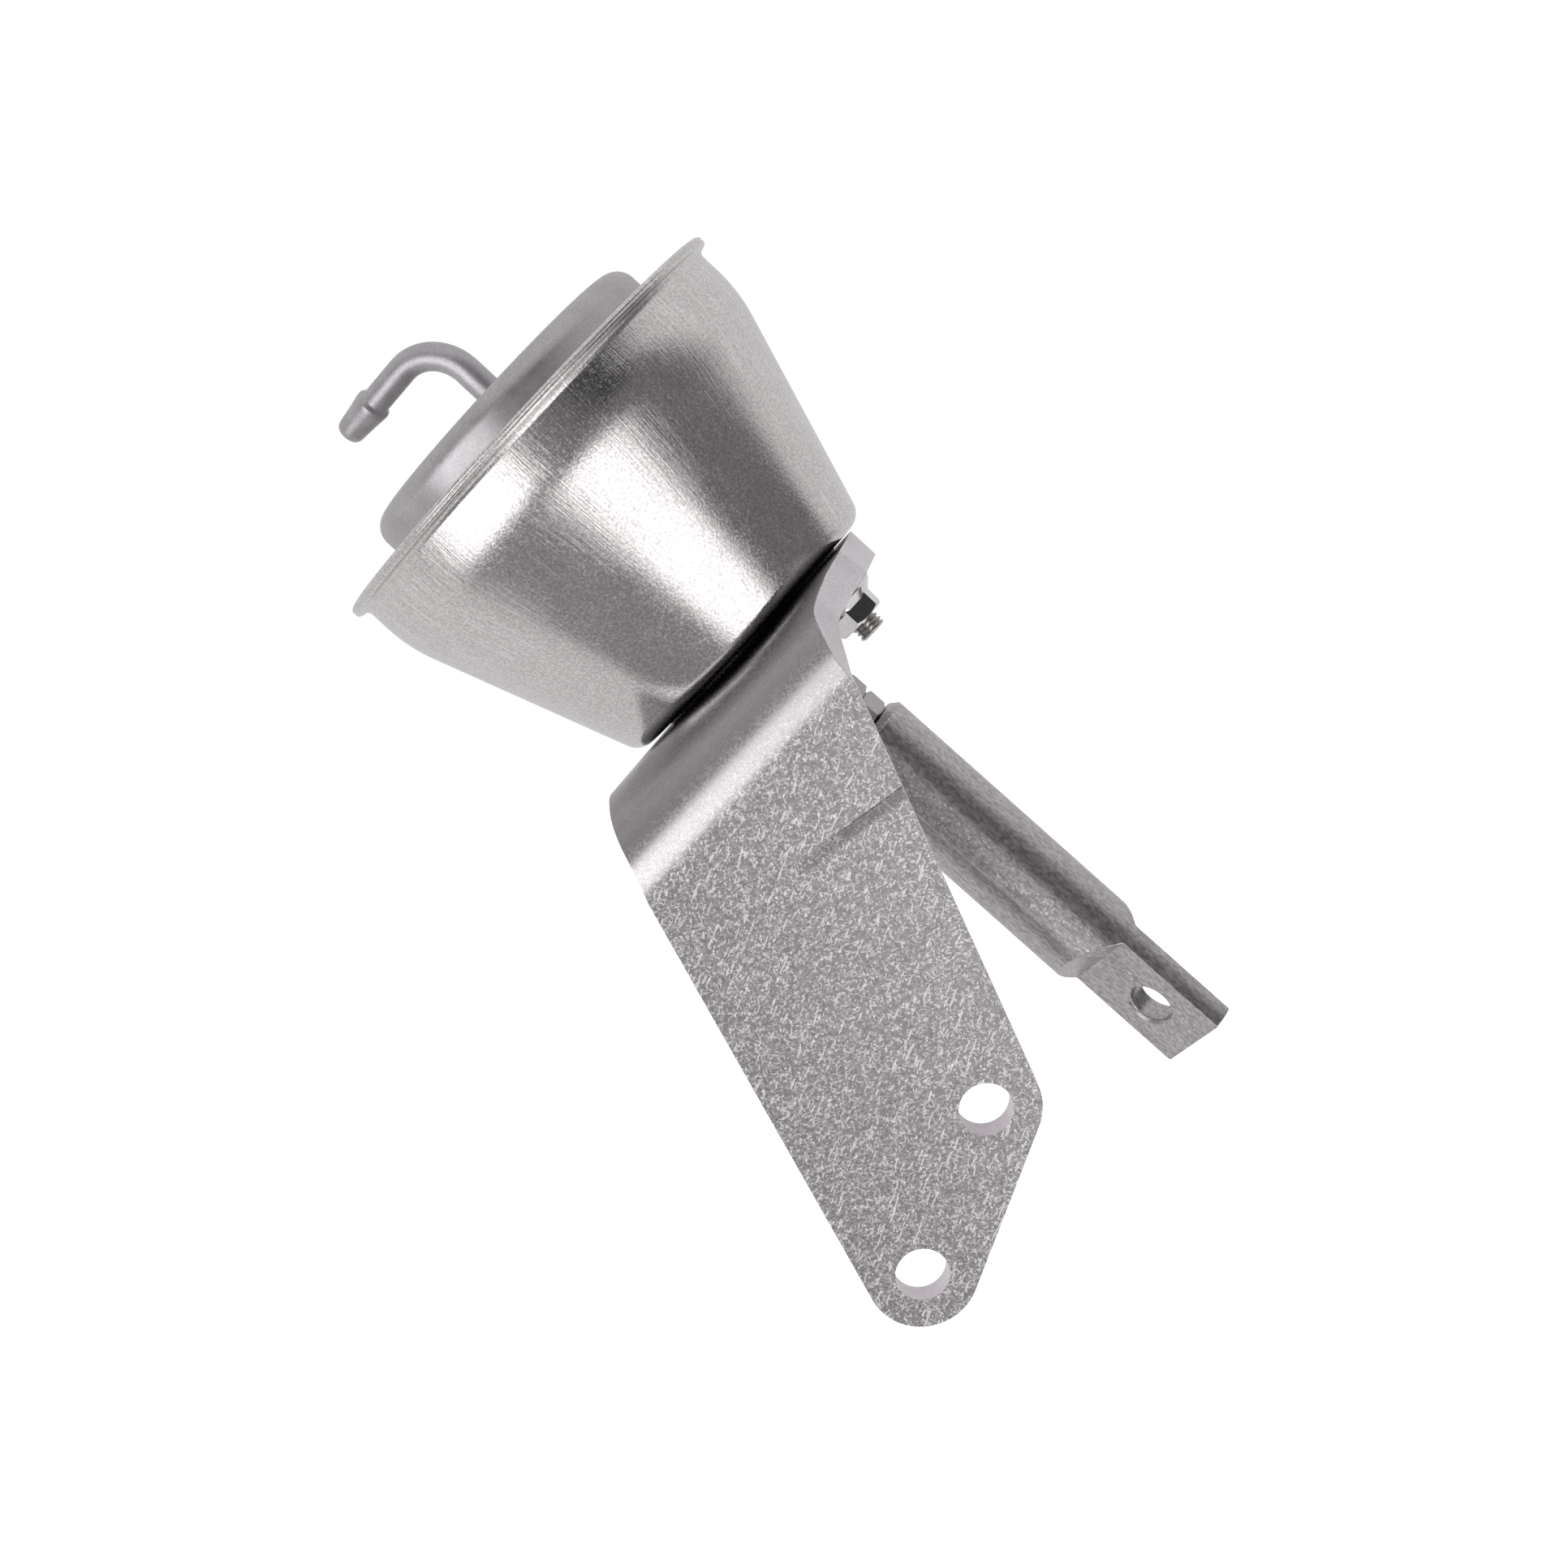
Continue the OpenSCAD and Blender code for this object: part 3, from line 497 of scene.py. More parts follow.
# Plain metals: colours of the low and high spots, roughness, grain in millimetres and its depth.
# A grain that is drawn out has its stretch along z
metalLooks = {
    # Sheared edge of the plate, tumbled dull: a cool light grey that takes light from all round
    "shearedPlateEdge": dict(low="#ece9ec", high="#fbf8fa", roughness=0.74, spread=0.08,
                             grain=0.3, depth=0.01, cloud=0.2),
    # Broken edge between face and sheared edge: rubbed bright, with a dotted glint
    "rubbedPlateEdge": dict(low="#8f8c8f", high="#fbf9f8", roughness=0.14, spread=0.1,
                            grain=0.3, depth=0.05, cloud=0.1),
    # Cap: the same plating without the bright draw lines, dulled to satin
    "zincPlatedSteelSatin": dict(low="#b5b3b5", high="#c9c7c8", roughness=0.36, spread=0.1,
                                 grain=0.4, depth=0.006),
    # Nipple: cold drawn tube with a satin plating
    "drawnTubeSatin": dict(low="#b4b2b4", high="#ceccce", roughness=0.4, spread=0.08,
                           grain=0.3, depth=0.01),
    # Copper based filler under the plating: a slightly yellow, rippled ring
    "brazingFillerPlated": dict(low="#8d8980", high="#b0aba0", roughness=0.36, spread=0.16,
                                grain=0.5, depth=0.05),
    # Inner pressings: yellow passivated sheet, never polished
    "passivatedSteelPressed": dict(low="#aaa287", high="#cbc4ae", roughness=0.33, spread=0.12,
                                   grain=0.6, depth=0.012),
    # Spring wire: oil hardened, blue black with a fine drawn grain
    "oilTemperedSpringWire": dict(low="#3f4044", high="#6a6b70", roughness=0.34, spread=0.12,
                                  grain=0.25, depth=0.01),
    # Cold formed nuts with a satin zinc skin
    "zincPlatedSteelForged": dict(low="#a7a4a7", high="#c4c2c4", roughness=0.3, spread=0.14,
                                  grain=0.3, depth=0.014),
    # Rolled stud thread, the crests polished by the rolls
    "zincPlatedThreadRolled": dict(low="#b4b2b0", high="#dad8d6", roughness=0.13, spread=0.08,
                                   grain=0.2, depth=0.006),
    # Sintered bronze: a porous brown yellow skin
    "sinteredBronze": dict(low="#7d6234", high="#b28f55", roughness=0.45, spread=0.15,
                           grain=0.18, depth=0.02),
    # Ground bar: bright with faint lines along it
    "groundSteelBar": dict(low="#b0aeac", high="#cfcdcb", roughness=0.22, spread=0.1,
                           grain=0.22, depth=0.006, stretch=0.1),
    # Stamped washers, tumbled bright
    "zincPlatedSteelStamped": dict(low="#c9c7c3", high="#e4e2df", roughness=0.26, spread=0.1,
                                   grain=0.3, depth=0.008),
    # Collar nuts: bright dipped zinc, almost a mirror
    "brightZincNut": dict(low="#dedddb", high="#f2f1ef", roughness=0.05, spread=0.04,
                          grain=0.35, depth=0.002),
}


# What the plain metals share: a slow cloud in the plating, and a few fine scratches
sharedLook = dict(
    stretch=1.0, cloudSize=6.0, cloud=0.4, toneBand=(0.38, 0.62), roughBand=(0.3, 0.7),
    scratch="#f0eeec", scratchTurn=(0.3, 0.9, 0.2), scratchStretch=(0.08, 1.0, 1.0),
    scratchSize=0.16, scratchBand=(0.72, 0.78), scratchShare=0.5, scratchDepth=0.006)


def plainMetal(name):
    look = {**sharedLook, **metalLooks[name]}
    material, add, shader, place = startMaterial(name, 1.0, look["roughness"])
    local = add("Mapping", {"Vector": place, "Scale": (1.0, 1.0, look["stretch"])})
    grain = add("noise", local, perMm(look["grain"]), 4.0, 0.65)
    cloud = add("noise", place, perMm(look["cloudSize"]), 2.0)
    tone = add("add", add("multiply", grain, 1 - look["cloud"]),
               add("multiply", cloud, look["cloud"]))
    base = add("mix", add("ramp", tone, *look["toneBand"]),
               linearColour(look["low"]), linearColour(look["high"]))
    scratchSpot = add("Mapping", {
        "Vector": place, "Rotation": look["scratchTurn"], "Scale": look["scratchStretch"]})
    scratch = add("noise", scratchSpot, perMm(look["scratchSize"]), 1.0)
    scratch = add("ramp", scratch, *look["scratchBand"], 0.0, look["scratchShare"])
    base = add("mix", scratch, base, linearColour(look["scratch"]))
    rough = add("ramp", cloud, *look["roughBand"], look["roughness"],
                look["roughness"] + look["spread"])
    dressShader(shader, base, rough, [
        (grain, look["depth"], 1.0), (scratch, look["scratchDepth"], 1.0)])
    return material


barLook = dict(
    low="#a29fa0", high="#d0cdcd", fleck="#f6f4f3", roughness=0.28, roughnessSpread=0.06,
    grainSize=0.45, grainDepth=0.012, grainBand=(0.36, 0.64), roughBand=(0.3, 0.7), stretch=0.4,
    fleckSize=0.5, fleckBand=(0.6, 0.68), fleckShare=0.8,
    dull=(-17.0, 14.0), dullSoft=6.0, dullRoughness=0.5, dullDepth=0.04,
    line=(-20.2, -17.8), lineSoft=1.2, lineDepth=0.12)


def drawnBarSatin():
    # Rod end: drawn bar under a satin plating. A band along its front is rubbed dull and grainy,
    # with a die line beside it, so the highlight there stays grey
    look = barLook
    material, add, shader, place = startMaterial("drawnBarSatin", 1.0, look["roughness"])
    x, y, z = add("SeparateXYZ", {0: place}).node.outputs
    below = add("subtract", z, rowHeight(-rodShape["setDepth"]))
    across = [add("subtract", add("subtract", part, canOrigin[k] / 1000),
                  add("multiply", below, rodDown[k] / rodDown[2]))
              for k, part in ((0, x), (1, y))]
    angle = add("arctan2", across[0], add("multiply", across[1], -1.0))
    dull = softMask(add, angle, look["dull"], look["dullSoft"])
    local = add("Mapping", {"Vector": place, "Scale": (1.0, 1.0, look["stretch"])})
    grain = add("noise", local, perMm(look["grainSize"]), 4.0, 0.7)
    fleck = add("noise", place, perMm(look["fleckSize"]), 1.0)
    fleck = add("ramp", fleck, *look["fleckBand"])
    base = add("mix", add("ramp", grain, *look["grainBand"]),
               linearColour(look["low"]), linearColour(look["high"]))
    dullShare = add("multiply", dull, look["fleckShare"])
    fleckOnDull = add("multiply", fleck, dullShare)
    base = add("mix", fleckOnDull, base, linearColour(look["fleck"]))
    rough = add("add", add("multiply", dull, look["dullRoughness"]
                           - look["roughness"]),
                add("ramp", grain, *look["roughBand"], look["roughness"],
                    look["roughness"] + look["roughnessSpread"]))
    line = softMask(add, angle, look["line"], look["lineSoft"])
    dressShader(shader, base, rough, [
        (grain, look["grainDepth"], 1.0),
        (add("multiply", grain, dull), look["dullDepth"], 1.0),
        (line, look["lineDepth"], 1.0)])
    return material


clothLook = dict(threadPitch=0.5, waver=0.4, low="#191918", high="#31302e", cloudSize=5.0,
                 roughness=0.55, depth=0.06, strength=0.6)


def rubberedCloth():
    # Diaphragm: a woven cloth coated with rubber, matt black, with the weave just showing
    look = clothLook
    material, add, shader, place = startMaterial("rubberedCloth", 0.0, look["roughness"])
    threads = []
    for direction in ("X", "Y"):
        threads.append(add("TexWave", {
            "Vector": place, "Scale": perMm(look["threadPitch"]) / (2 * math.pi),
            "Distortion": look["waver"]}, bands_direction=direction, output="Fac"))
    weave = add("maximum", threads[0], threads[1])
    cloud = add("noise", place, perMm(look["cloudSize"]))
    base = add("mix", cloud, linearColour(look["low"]), linearColour(look["high"]))
    dressShader(shader, base, None, [(weave, look["depth"], look["strength"])])
    return material


print("materials")
canSkin = zincPlatedSteelDrawn()
plateSkin = galvanisedSteelPlate()
rubber = rubberedCloth()
metals = {name: plainMetal(name) for name in metalLooks}
barSkin = drawnBarSatin()


# Canister

def canPath():
    # Outer line of the can from the hub up: flat pad, corner arc, straight cone, shoulder arc,
    # flare, and the rim, whose face has a shallow bell-shaped groove
    s = canShape
    rimH = 3 * s["sheet"] + s["rimFill"]
    rimLow, rimTop = s["rimZ"] - rimH / 2, s["rimZ"] + rimH / 2
    neckR = s["rimR"] - s["overhang"]
    flareR = s["overhang"] - s["hemR"]
    shoulderZ = s["rimZ"] - s["neckH"]
    slope = math.radians(s["coneAngle"])
    startR = neckR - s["shoulderR"] * (1 - math.cos(slope))
    startZ = shoulderZ - s["shoulderR"] * math.sin(slope)
    footR = startR - startZ * math.tan(slope)
    floorR = footR - s["cornerR"] * (1 - math.sin(slope)) / math.cos(slope)
    padR = floorR - s["floorToPad"]
    rimFace = np.linspace(rimLow + s["hemR"], rimTop - s["hemR"], 15)[1:-1]
    groove = s["grooveDepth"] * np.exp(-((rimFace - s["rimZ"]) / s["grooveWidth"]) ** 2)
    path = np.vstack([
        [[s["hubR"], -s["padH"]], [padR, -s["padH"]], [padR + s["padSlope"], 0]],
        arc((floorR, s["cornerR"]), s["cornerR"], -90, -s["coneAngle"], 14),
        np.linspace((footR + s["coneFrom"] * math.tan(slope), s["coneFrom"]),
                    (startR, startZ), 8)[1:-1],
        arc((neckR - s["shoulderR"], shoulderZ), s["shoulderR"], -s["coneAngle"], 0, 18),
        arc((neckR + flareR, rimLow - flareR), flareR, 180, 90, 12),
        arc((s["rimR"] - s["hemR"], rimLow + s["hemR"]), s["hemR"], -90, 0, 9)[1:],
        np.stack([s["rimR"] - groove, rimFace], -1),
        arc((s["rimR"] - s["hemR"], rimTop - s["hemR"]), s["hemR"], 0, 90, 9),
        [[s["rimR"] - s["hemReach"], rimTop]]])
    return path, neckR, rimLow, rimTop


canLine, neckR, rimLow, rimTop = canPath()
canSection = rounded(sheetProfile(canLine, canShape["sheet"]), canShape["edgeR"])
canShell = gridPiece("canShell", revolved(canSection, canShape["segments"]), True, canSkin)
seat(canShell, "housing", "can_steel", "can")

capShape = dict(r=29.05, rise=7.55, cornerR=3.5, filletR=1.2, flangeGap=0.2, holeR=2.48,
                flatRings=(18.0, 10.0), edgeR=0.1, segments=256)
capTop = canShape["rimZ"] + capShape["rise"]


def capPath():
    # Outer line of the cap from the flange in: fillet, wall, corner arc and flat top
    s = capShape
    flangeZ = rimTop - canShape["sheet"]
    flangeR = canShape["rimR"] - canShape["sheet"] - s["flangeGap"]
    return np.vstack([
        [[flangeR, flangeZ]],
        arc((s["r"] + s["filletR"], flangeZ + s["filletR"]), s["filletR"], -90, -180, 9),
        arc((s["r"] - s["cornerR"], capTop - s["cornerR"]), s["cornerR"], 0, 90, 14),
        [[r, capTop] for r in (*s["flatRings"], s["holeR"])]])


capSection = rounded(sheetProfile(capPath(), canShape["sheet"]), capShape["edgeR"])
capShell = gridPiece("capShell", revolved(capSection, capShape["segments"]), True,
                     metals["zincPlatedSteelSatin"])
seat(capShell, "housing", "cap_steel", "cap")

nippleShape = dict(
    tubeR=2.38, wall=0.7, rise=13.9, elbowR=8.1, compass=158, beadR=2.975, beadAt=16.5,
    beadRise=0.9, beadLand=0.6, coneBulge=0.25, coneShort=1.0, reach=23.7, footT=0.8,
    footR=3.48, beadLead=0.3, boreFlare=0.08, boreEdge=0.1,
    # The tip's rounding: how far before the tip, and how much smaller
    tipSteps=((0.4, 0.12), (0.1, 0.3), (0.0, 0.5)), around=72)


def hoseNipple():
    # Outer wall from the foot to the tip, then the bore back: each row is a place along the tube
    # and a radius, carried up, round the elbow and out
    s = nippleShape
    straight = s["rise"] - s["elbowR"]
    quarter = s["elbowR"] * math.pi / 2
    low = -(canShape["sheet"] + s["footT"])

    def fromAxis(distance):
        return straight + quarter + distance - s["elbowR"]

    beadLow = fromAxis(s["beadAt"] - s["beadRise"])
    beadTop = fromAxis(s["beadAt"])
    tip = fromAxis(s["reach"])
    tipCone = tip - s["coneShort"]
    landEnd = beadTop + s["beadLand"]
    t = np.linspace(0, 1, 9)
    smooth = t * t * (3 - 2 * t)
    bead = np.stack([beadLow + s["beadRise"] * t,
                     s["tubeR"] + (s["beadR"] - s["tubeR"]) * smooth], -1)
    fall = t + s["coneBulge"] * t * (1 - t)
    cone = np.stack([landEnd + (tipCone - landEnd) * t,
                     s["beadR"] + (s["tubeR"] - s["beadR"]) * fall], -1)
    outer = np.vstack([
        [[low, s["footR"]], [low + s["footT"], s["footR"]], [low + s["footT"], s["tubeR"]]],
        np.stack([np.linspace(0, straight, 6), np.full(6, s["tubeR"])], -1),
        np.stack([straight + quarter * np.linspace(0, 1, 25)[1:], np.full(24, s["tubeR"])], -1),
        [[beadLow - s["beadLead"], s["tubeR"]]], bead, [[landEnd, s["beadR"]]], cone[1:],
        [[tip - back, s["tubeR"] - less] for back, less in s["tipSteps"]]])
    boreR = s["tubeR"] - s["wall"]
    bore = np.vstack([
        [[tip, boreR + s["boreFlare"]], [tip - s["boreEdge"], boreR]],
        np.stack([straight + quarter * np.linspace(1, 0, 25), np.full(25, boreR)], -1),
        [[low, boreR]]])
    rows = np.vstack([outer, bore])
    place, radius = rows[:, 0], rows[:, 1]
    turn = np.clip((place - straight) / quarter, 0, 1) * math.pi / 2
    beyond = np.maximum(place - straight - quarter, 0)
    out = s["elbowR"] * (1 - np.cos(turn)) + beyond
    up = capTop + np.minimum(place, straight) + s["elbowR"] * np.sin(turn)
    heading = np.array([math.cos(math.radians(s["compass"])),
                        math.sin(math.radians(s["compass"])), 0.0])
    across = np.array([-heading[1], heading[0], 0.0])
    centres = out[:, None] * heading + up[:, None] * np.array([0, 0, 1.0])
    ups = -np.cos(turn)[:, None] * heading + np.sin(turn)[:, None] * np.array([0, 0, 1.0])
    sides = np.repeat(across[None], len(rows), 0)
    radii = np.repeat(radius[:, None], s["around"], 1)
    return alongPath(centres, sides, ups, radii, s["around"])


nipple = gridPiece("nippleTube", hoseNipple(), True, metals["drawnTubeSatin"])
seat(nipple, "housing", "nipple_steel", "hose_nipple")

brazeShape = dict(height=1.3, width=0.85, ripple=0.12, gap=0.02, sweep=75, around=96)


def brazeFillet():
    # Concave fillet of revolution: r = foot + width (1 - sin t) and z = height (1 - cos t). Three
    # long waves and seven short ones round the axis make its outer edge wander
    s = brazeShape
    foot = nippleShape["tubeR"] + s["gap"]
    t = np.radians(np.linspace(0, s["sweep"], 10))
    a = np.linspace(0, 2 * np.pi, s["around"], endpoint=False)[None, :]
    swell = 1 + s["ripple"] * (np.sin(3 * a + 0.7) * 0.5 + np.sin(7 * a) * 0.3 - 0.8)
    r = foot + s["width"] * (1 - np.sin(t))[:, None] * swell
    z = capTop + s["height"] * (1 - np.cos(t))[:, None] * (0.9 + 0.1 * swell)
    r = np.vstack([foot + 0 * a, r, foot + 0 * a])
    z = np.vstack([capTop + 0 * a, z, capTop + s["height"] * 0.9 + 0 * a])
    return np.stack([r * np.cos(a), r * np.sin(a), z], -1)


braze = gridPiece("brazeFillet", brazeFillet(), True, metals["brazingFillerPlated"])
seat(braze, "housing", "braze_metal", "braze_ring")
print("canister, cap and nipple")


# Inside of the canister

rollShape = dict(thickness=0.25, clampGap=0.03, pistonR=29.4, pistonTop=44.15, pistonCorner=1.5,
                 pistonGap=0.1, wallTop=1.6, wallLow=34.5, wallDrop=8.1, flatR=20.0, hubR=3.375,
                 blendTop=46.7, blendLow=44.75, stroke=11.0, clear=0.85, segments=160)


def canInside(z):
    # Inner radius of the can: the neck, less the shoulder's arc, then the cone's straight slope
    s = canShape
    slope = math.radians(s["coneAngle"])
    below = np.maximum(s["rimZ"] - s["neckH"] - z, 0)
    onArc = np.minimum(below, s["shoulderR"] * math.sin(slope))
    return (neckR - s["shoulderR"] + np.sqrt(s["shoulderR"] ** 2 - onArc ** 2)
            - (below - onArc) * math.tan(slope) - s["sheet"] / math.cos(slope))


def rollingWall(topR):
    # The outer wall goes straight in, but never nearer the can than it may be at full stroke:
    # each point moves down by the stroke times its share of the blend
    s = rollShape
    z = np.linspace(rimLow - s["wallTop"], rimLow - s["wallDrop"], 18)
    share = np.clip((s["blendTop"] - z) / (s["blendTop"] - s["blendLow"]), 0, 1)
    moved = z - s["stroke"] * share ** 2 * (3 - 2 * share)
    straight = np.linspace(topR, s["wallLow"], len(z))
    return np.stack([np.minimum(straight, canInside(moved) - s["clear"]), z], -1)


def diaphragmPath():
    # Clamped in the rim, down beside the wall, round the roll and up over the piston
    s = rollShape
    t = s["thickness"]
    flareR = canShape["overhang"] - canShape["hemR"]
    drapeR = flareR + canShape["sheet"] + s["clampGap"] + t
    sideR = s["pistonR"] + s["pistonGap"] + t
    top = s["pistonTop"] + s["pistonGap"] + t
    rollR = (s["wallLow"] - sideR) / 2
    centre = (neckR + flareR, rimLow - flareR)
    return np.vstack([
        arc(centre, drapeR, 95, 180, 14),
        rollingWall(neckR + flareR - drapeR),
        arc((sideR + rollR, rimLow - s["wallDrop"]), rollR, 0, -180, 26)[1:],
        arc((s["pistonR"] - s["pistonCorner"], s["pistonTop"] - s["pistonCorner"]),
            s["pistonCorner"] + s["pistonGap"] + t, 0, 90, 10),
        [[s["flatR"], top], [s["hubR"], top]]])


sheetSection = sheetProfile(diaphragmPath(), rollShape["thickness"])
diaphragmSheet = gridPiece("diaphragmSheet", revolved(sheetSection, rollShape["segments"]), True,
                           rubber)
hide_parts("diaphragm")
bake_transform(diaphragmSheet)

springShape = dict(wire=2.9, coilR=22.29, low=2.75, high=41.7, turns=6.5, seatTop=1.3,
                   stroke=11.0, stepsPerTurn=48, around=20)


def returnSpring():
    # Helix: the ring's centre turns at coilR while z climbs, steeply only between the end turns
    s = springShape
    steps = int(s["turns"] * s["stepsPerTurn"])
    turn = np.linspace(0, s["turns"], steps + 1)
    travel = s["high"] - s["low"] - 2 * s["wire"]
    working = np.clip(turn - 1, 0, s["turns"] - 2) / (s["turns"] - 2)
    z = s["low"] + s["wire"] * (np.minimum(turn, 1) + np.maximum(turn - s["turns"] + 1, 0)) \
        + travel * working
    a = 2 * np.pi * turn
    out = np.stack([np.cos(a), np.sin(a), 0 * a], -1)
    centres = out * s["coilR"] + z[:, None] * np.array([0, 0, 1.0])
    ups = np.repeat(np.array([[0, 0, 1.0]]), len(turn), 0)
    radius = np.full(len(turn), s["wire"] / 2)
    centres = np.vstack([centres[:1], centres, centres[-1:]])
    out = np.vstack([out[:1], out, out[-1:]])
    ups = np.vstack([ups[:1], ups, ups[-1:]])
    radius = np.concatenate([[0], radius, [0]])
    radii = np.repeat(radius[:, None], s["around"], 1)
    return alongPath(centres, out, ups, radii, s["around"])


springWire = gridPiece("springWire", returnSpring(), False, metals["oilTemperedSpringWire"])
seat(springWire, "housing", "spring_steel", "spring")
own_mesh(springWire)
print("diaphragm and spring")


# Threaded pieces

threadShape = dict(depth=0.6, steep=1.25, crest=0.12, rowsPerTurn=8)


def threadedRows(stations, pitch, around):
    # Radii of a bar with a helical groove: r less the depth, which is a share of the pitch, times
    # a triangle wave of z/pitch - a/2pi, flattened at the crest and the root. The third number of
    # a row says how much of the groove it has
    s = threadShape
    place, radius, mask = stations[:, :1], stations[:, 1:2], stations[:, 2:3]
    a = np.arange(around)[None, :] / around
    wave = np.abs(2 * ((place / pitch - a) % 1) - 1)
    groove = np.clip(s["steep"] * wave - s["crest"], 0, 1)
    return np.maximum(radius - mask * s["depth"] * pitch * groove, 0)


def threadStations(start, end, radius, pitch, fade):
    # Evenly spaced rows, with the groove fading in and out at the two ends
    place = np.arange(start, end, pitch / threadShape["rowsPerTurn"])
    mask = np.clip(np.minimum((place - start) / fade[0], (end - place) / fade[1]), 0, 1)
    return np.stack([place, np.full(len(place), radius), mask], -1)


studShape = dict(r=2.5, x=14.0, end=14.2, pitch=0.8, threadLen=8.8, tipCut=0.45, tipRise=0.35,
                 fade=(0.25, 0.9), headR=3.9, headH=1.8, headZ=1.35, headEdge=0.3, around=64)


def studGrid(x):
    # Rows from the stud's tip up: height, radius and share of the groove
    s = studShape
    headTop = s["headZ"] + s["headH"]
    thread = threadStations(-s["end"] + s["tipRise"], -s["end"] + s["threadLen"], s["r"],
                            s["pitch"], s["fade"])
    rows = np.vstack([
        [[-s["end"], 0, 0], [-s["end"], s["r"] - s["tipCut"], 0]], thread,
        [[s["headZ"], s["r"], 0], [s["headZ"], s["headR"], 0],
         [headTop - s["headEdge"], s["headR"], 0], [headTop, s["headR"] - s["headEdge"], 0],
         [headTop, 0, 0]]])
    radii = threadedRows(rows, s["pitch"], s["around"])
    centres = rows[:, :1] * np.array([[0, 0, 1.0]]) + np.array([x, 0, 0])
    sides = np.repeat(np.array([[1.0, 0, 0]]), len(rows), 0)
    ups = np.repeat(np.array([[0, 1.0, 0]]), len(rows), 0)
    return alongPath(centres, sides, ups, radii, s["around"])


for side, x in (("Right", studShape["x"]), ("Left", -studShape["x"])):
    stud = gridPiece("stud" + side, studGrid(x), False, metals["zincPlatedThreadRolled"], 50)
    seat(stud, "housing", "stud_steel", "studs")


def rodGrid():
    # Rows from the upper end down: place is the distance below the upper end, and the path bends
    # at the set, inside the relief groove
    s = rodShape
    bend = s["top"] + s["setDepth"]
    topThreadEnd = s["top"] - s["topThread"]
    upper = threadStations(s["tipCut"], topThreadEnd, s["r"], s["pitch"], s["topFade"])
    lower = threadStations(bend + s["reliefLen"] + s["threadGap"],
                           bend + s["threadEnd"] - s["endEdge"], s["r"], s["pitch"], s["lowFade"])
    rows = np.vstack([
        [[0, 0, 0], [0, s["r"] - s["tipCut"], 0]], upper,
        [[topThreadEnd + s["topGap"], s["r"], 0], [bend - s["reliefStep"], s["r"], 0],
         [bend + s["reliefStep"], s["reliefR"], 0],
         [bend + s["reliefLen"], s["reliefR"], 0]], lower,
        [[bend + s["threadEnd"], s["reliefR"], 0], [bend + s["threadEnd"], 0, 0]]])
    place = rows[:, :1]
    straight = np.minimum(place, bend)
    beyond = np.maximum(place - bend, 0)
    centres = np.array([[0, 0, s["top"]]]) - straight * np.array([[0, 0, 1.0]]) \
        + beyond * rodDown[None]
    tilted = place > bend
    sides = np.where(tilted, (rodTurn @ np.array([1.0, 0, 0]))[None], np.array([[1.0, 0, 0]]))
    ups = np.where(tilted, (rodTurn @ np.array([0, 1.0, 0]))[None], np.array([[0, 1.0, 0]]))
    radii = threadedRows(rows, s["pitch"], s["around"])
    return alongPath(centres, sides, ups, radii, s["around"])


rodBar = gridPiece("rodBar", rodGrid(), False, metals["groundSteelBar"], 50)
seat(rodBar, "plunger", "rod_steel", "rod")
print("studs and rod")


# Bracket

plateShape = dict(bendR=13.0, bendY=21.15, top=-0.6, edgeBreak=0.3)


def plateSlots(centres, normals):
    # Slot 1 for the sheared edge: faces whose normal lies in the sheet's own plane
    s = plateShape
    y, z = centres[:, 1] + s["bendY"], centres[:, 2] - (s["top"] - s["bendR"])
    angle = np.degrees(np.arctan2(z, y))
    onFlange = (y > 0) & (z > 0)
    onLeg = (angle < -90) | ((z < 0) & (y < 0) & (angle > 90))
    lean = math.radians(plateLook["lean"])
    sheet = np.stack([np.zeros(len(y)), y, z], -1)
    sheet /= np.maximum(np.linalg.norm(sheet, axis=1), 1e-6)[:, None]
    legNormal = np.array([0, -math.cos(lean), -math.sin(lean)])
    below = sheet @ np.array([0, math.sin(lean), -math.cos(lean)]) > 0
    sheet = np.where(onFlange[:, None], np.array([[0, 0, 1.0]]), sheet)
    sheet = np.where((onLeg | (below & ~onFlange))[:, None], legNormal[None], sheet)
    return np.abs((normals * sheet).sum(1)) < 0.5


bracketPlate = mergedCopy("bracket", "bracketPlate", [
    plateSkin, metals["shearedPlateEdge"], metals["rubbedPlateEdge"]], plateSlots,
    bevel=plateShape["edgeBreak"], segments=3, bevelSlot=2)
seat(bracketPlate, "housing", "galvanised_plate", "bracket")

barEnd = mergedCopy("rod_end", "rodEndBar", [barSkin], bevel=0.16)
seat(barEnd, "rod_end", "rod_end_steel", "rod_end")
lockNuts = mergedCopy("jam_nuts", "lockNutPair", [metals["zincPlatedSteelForged"]], bevel=0.14)
seat(lockNuts, "jam_nut", "zinc_steel", "jam_nuts")
collarNuts = mergedCopy("stud_nuts", "collarNutPair", [metals["brightZincNut"]], bevel=0.14)
seat(collarNuts, "housing", "bright_zinc", "stud_nuts")
washers = mergedCopy("stud_washers", "washerPair", [metals["zincPlatedSteelStamped"]], bevel=0.08)
seat(washers, "housing", "washer_steel", "stud_washers")

# Nodes that stay as they are get the finish of what they are made from
nodeFinish = {
    "stop_cup": "passivatedSteelPressed", "piston": "passivatedSteelPressed",
    "spring_seat": "passivatedSteelPressed", "stud_plate": "passivatedSteelPressed",
    "rod_lock_washer": "oilTemperedSpringWire", "rod_top_nut": "zincPlatedSteelForged",
    "rod_lower_nut": "zincPlatedSteelForged", "guide_bush": "sinteredBronze"}
for nodeName, finish in nodeFinish.items():
    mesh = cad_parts[nodeName].data
    mesh.materials.clear()
    mesh.materials.append(metals[finish])
print("bracket and fasteners")


# Studio

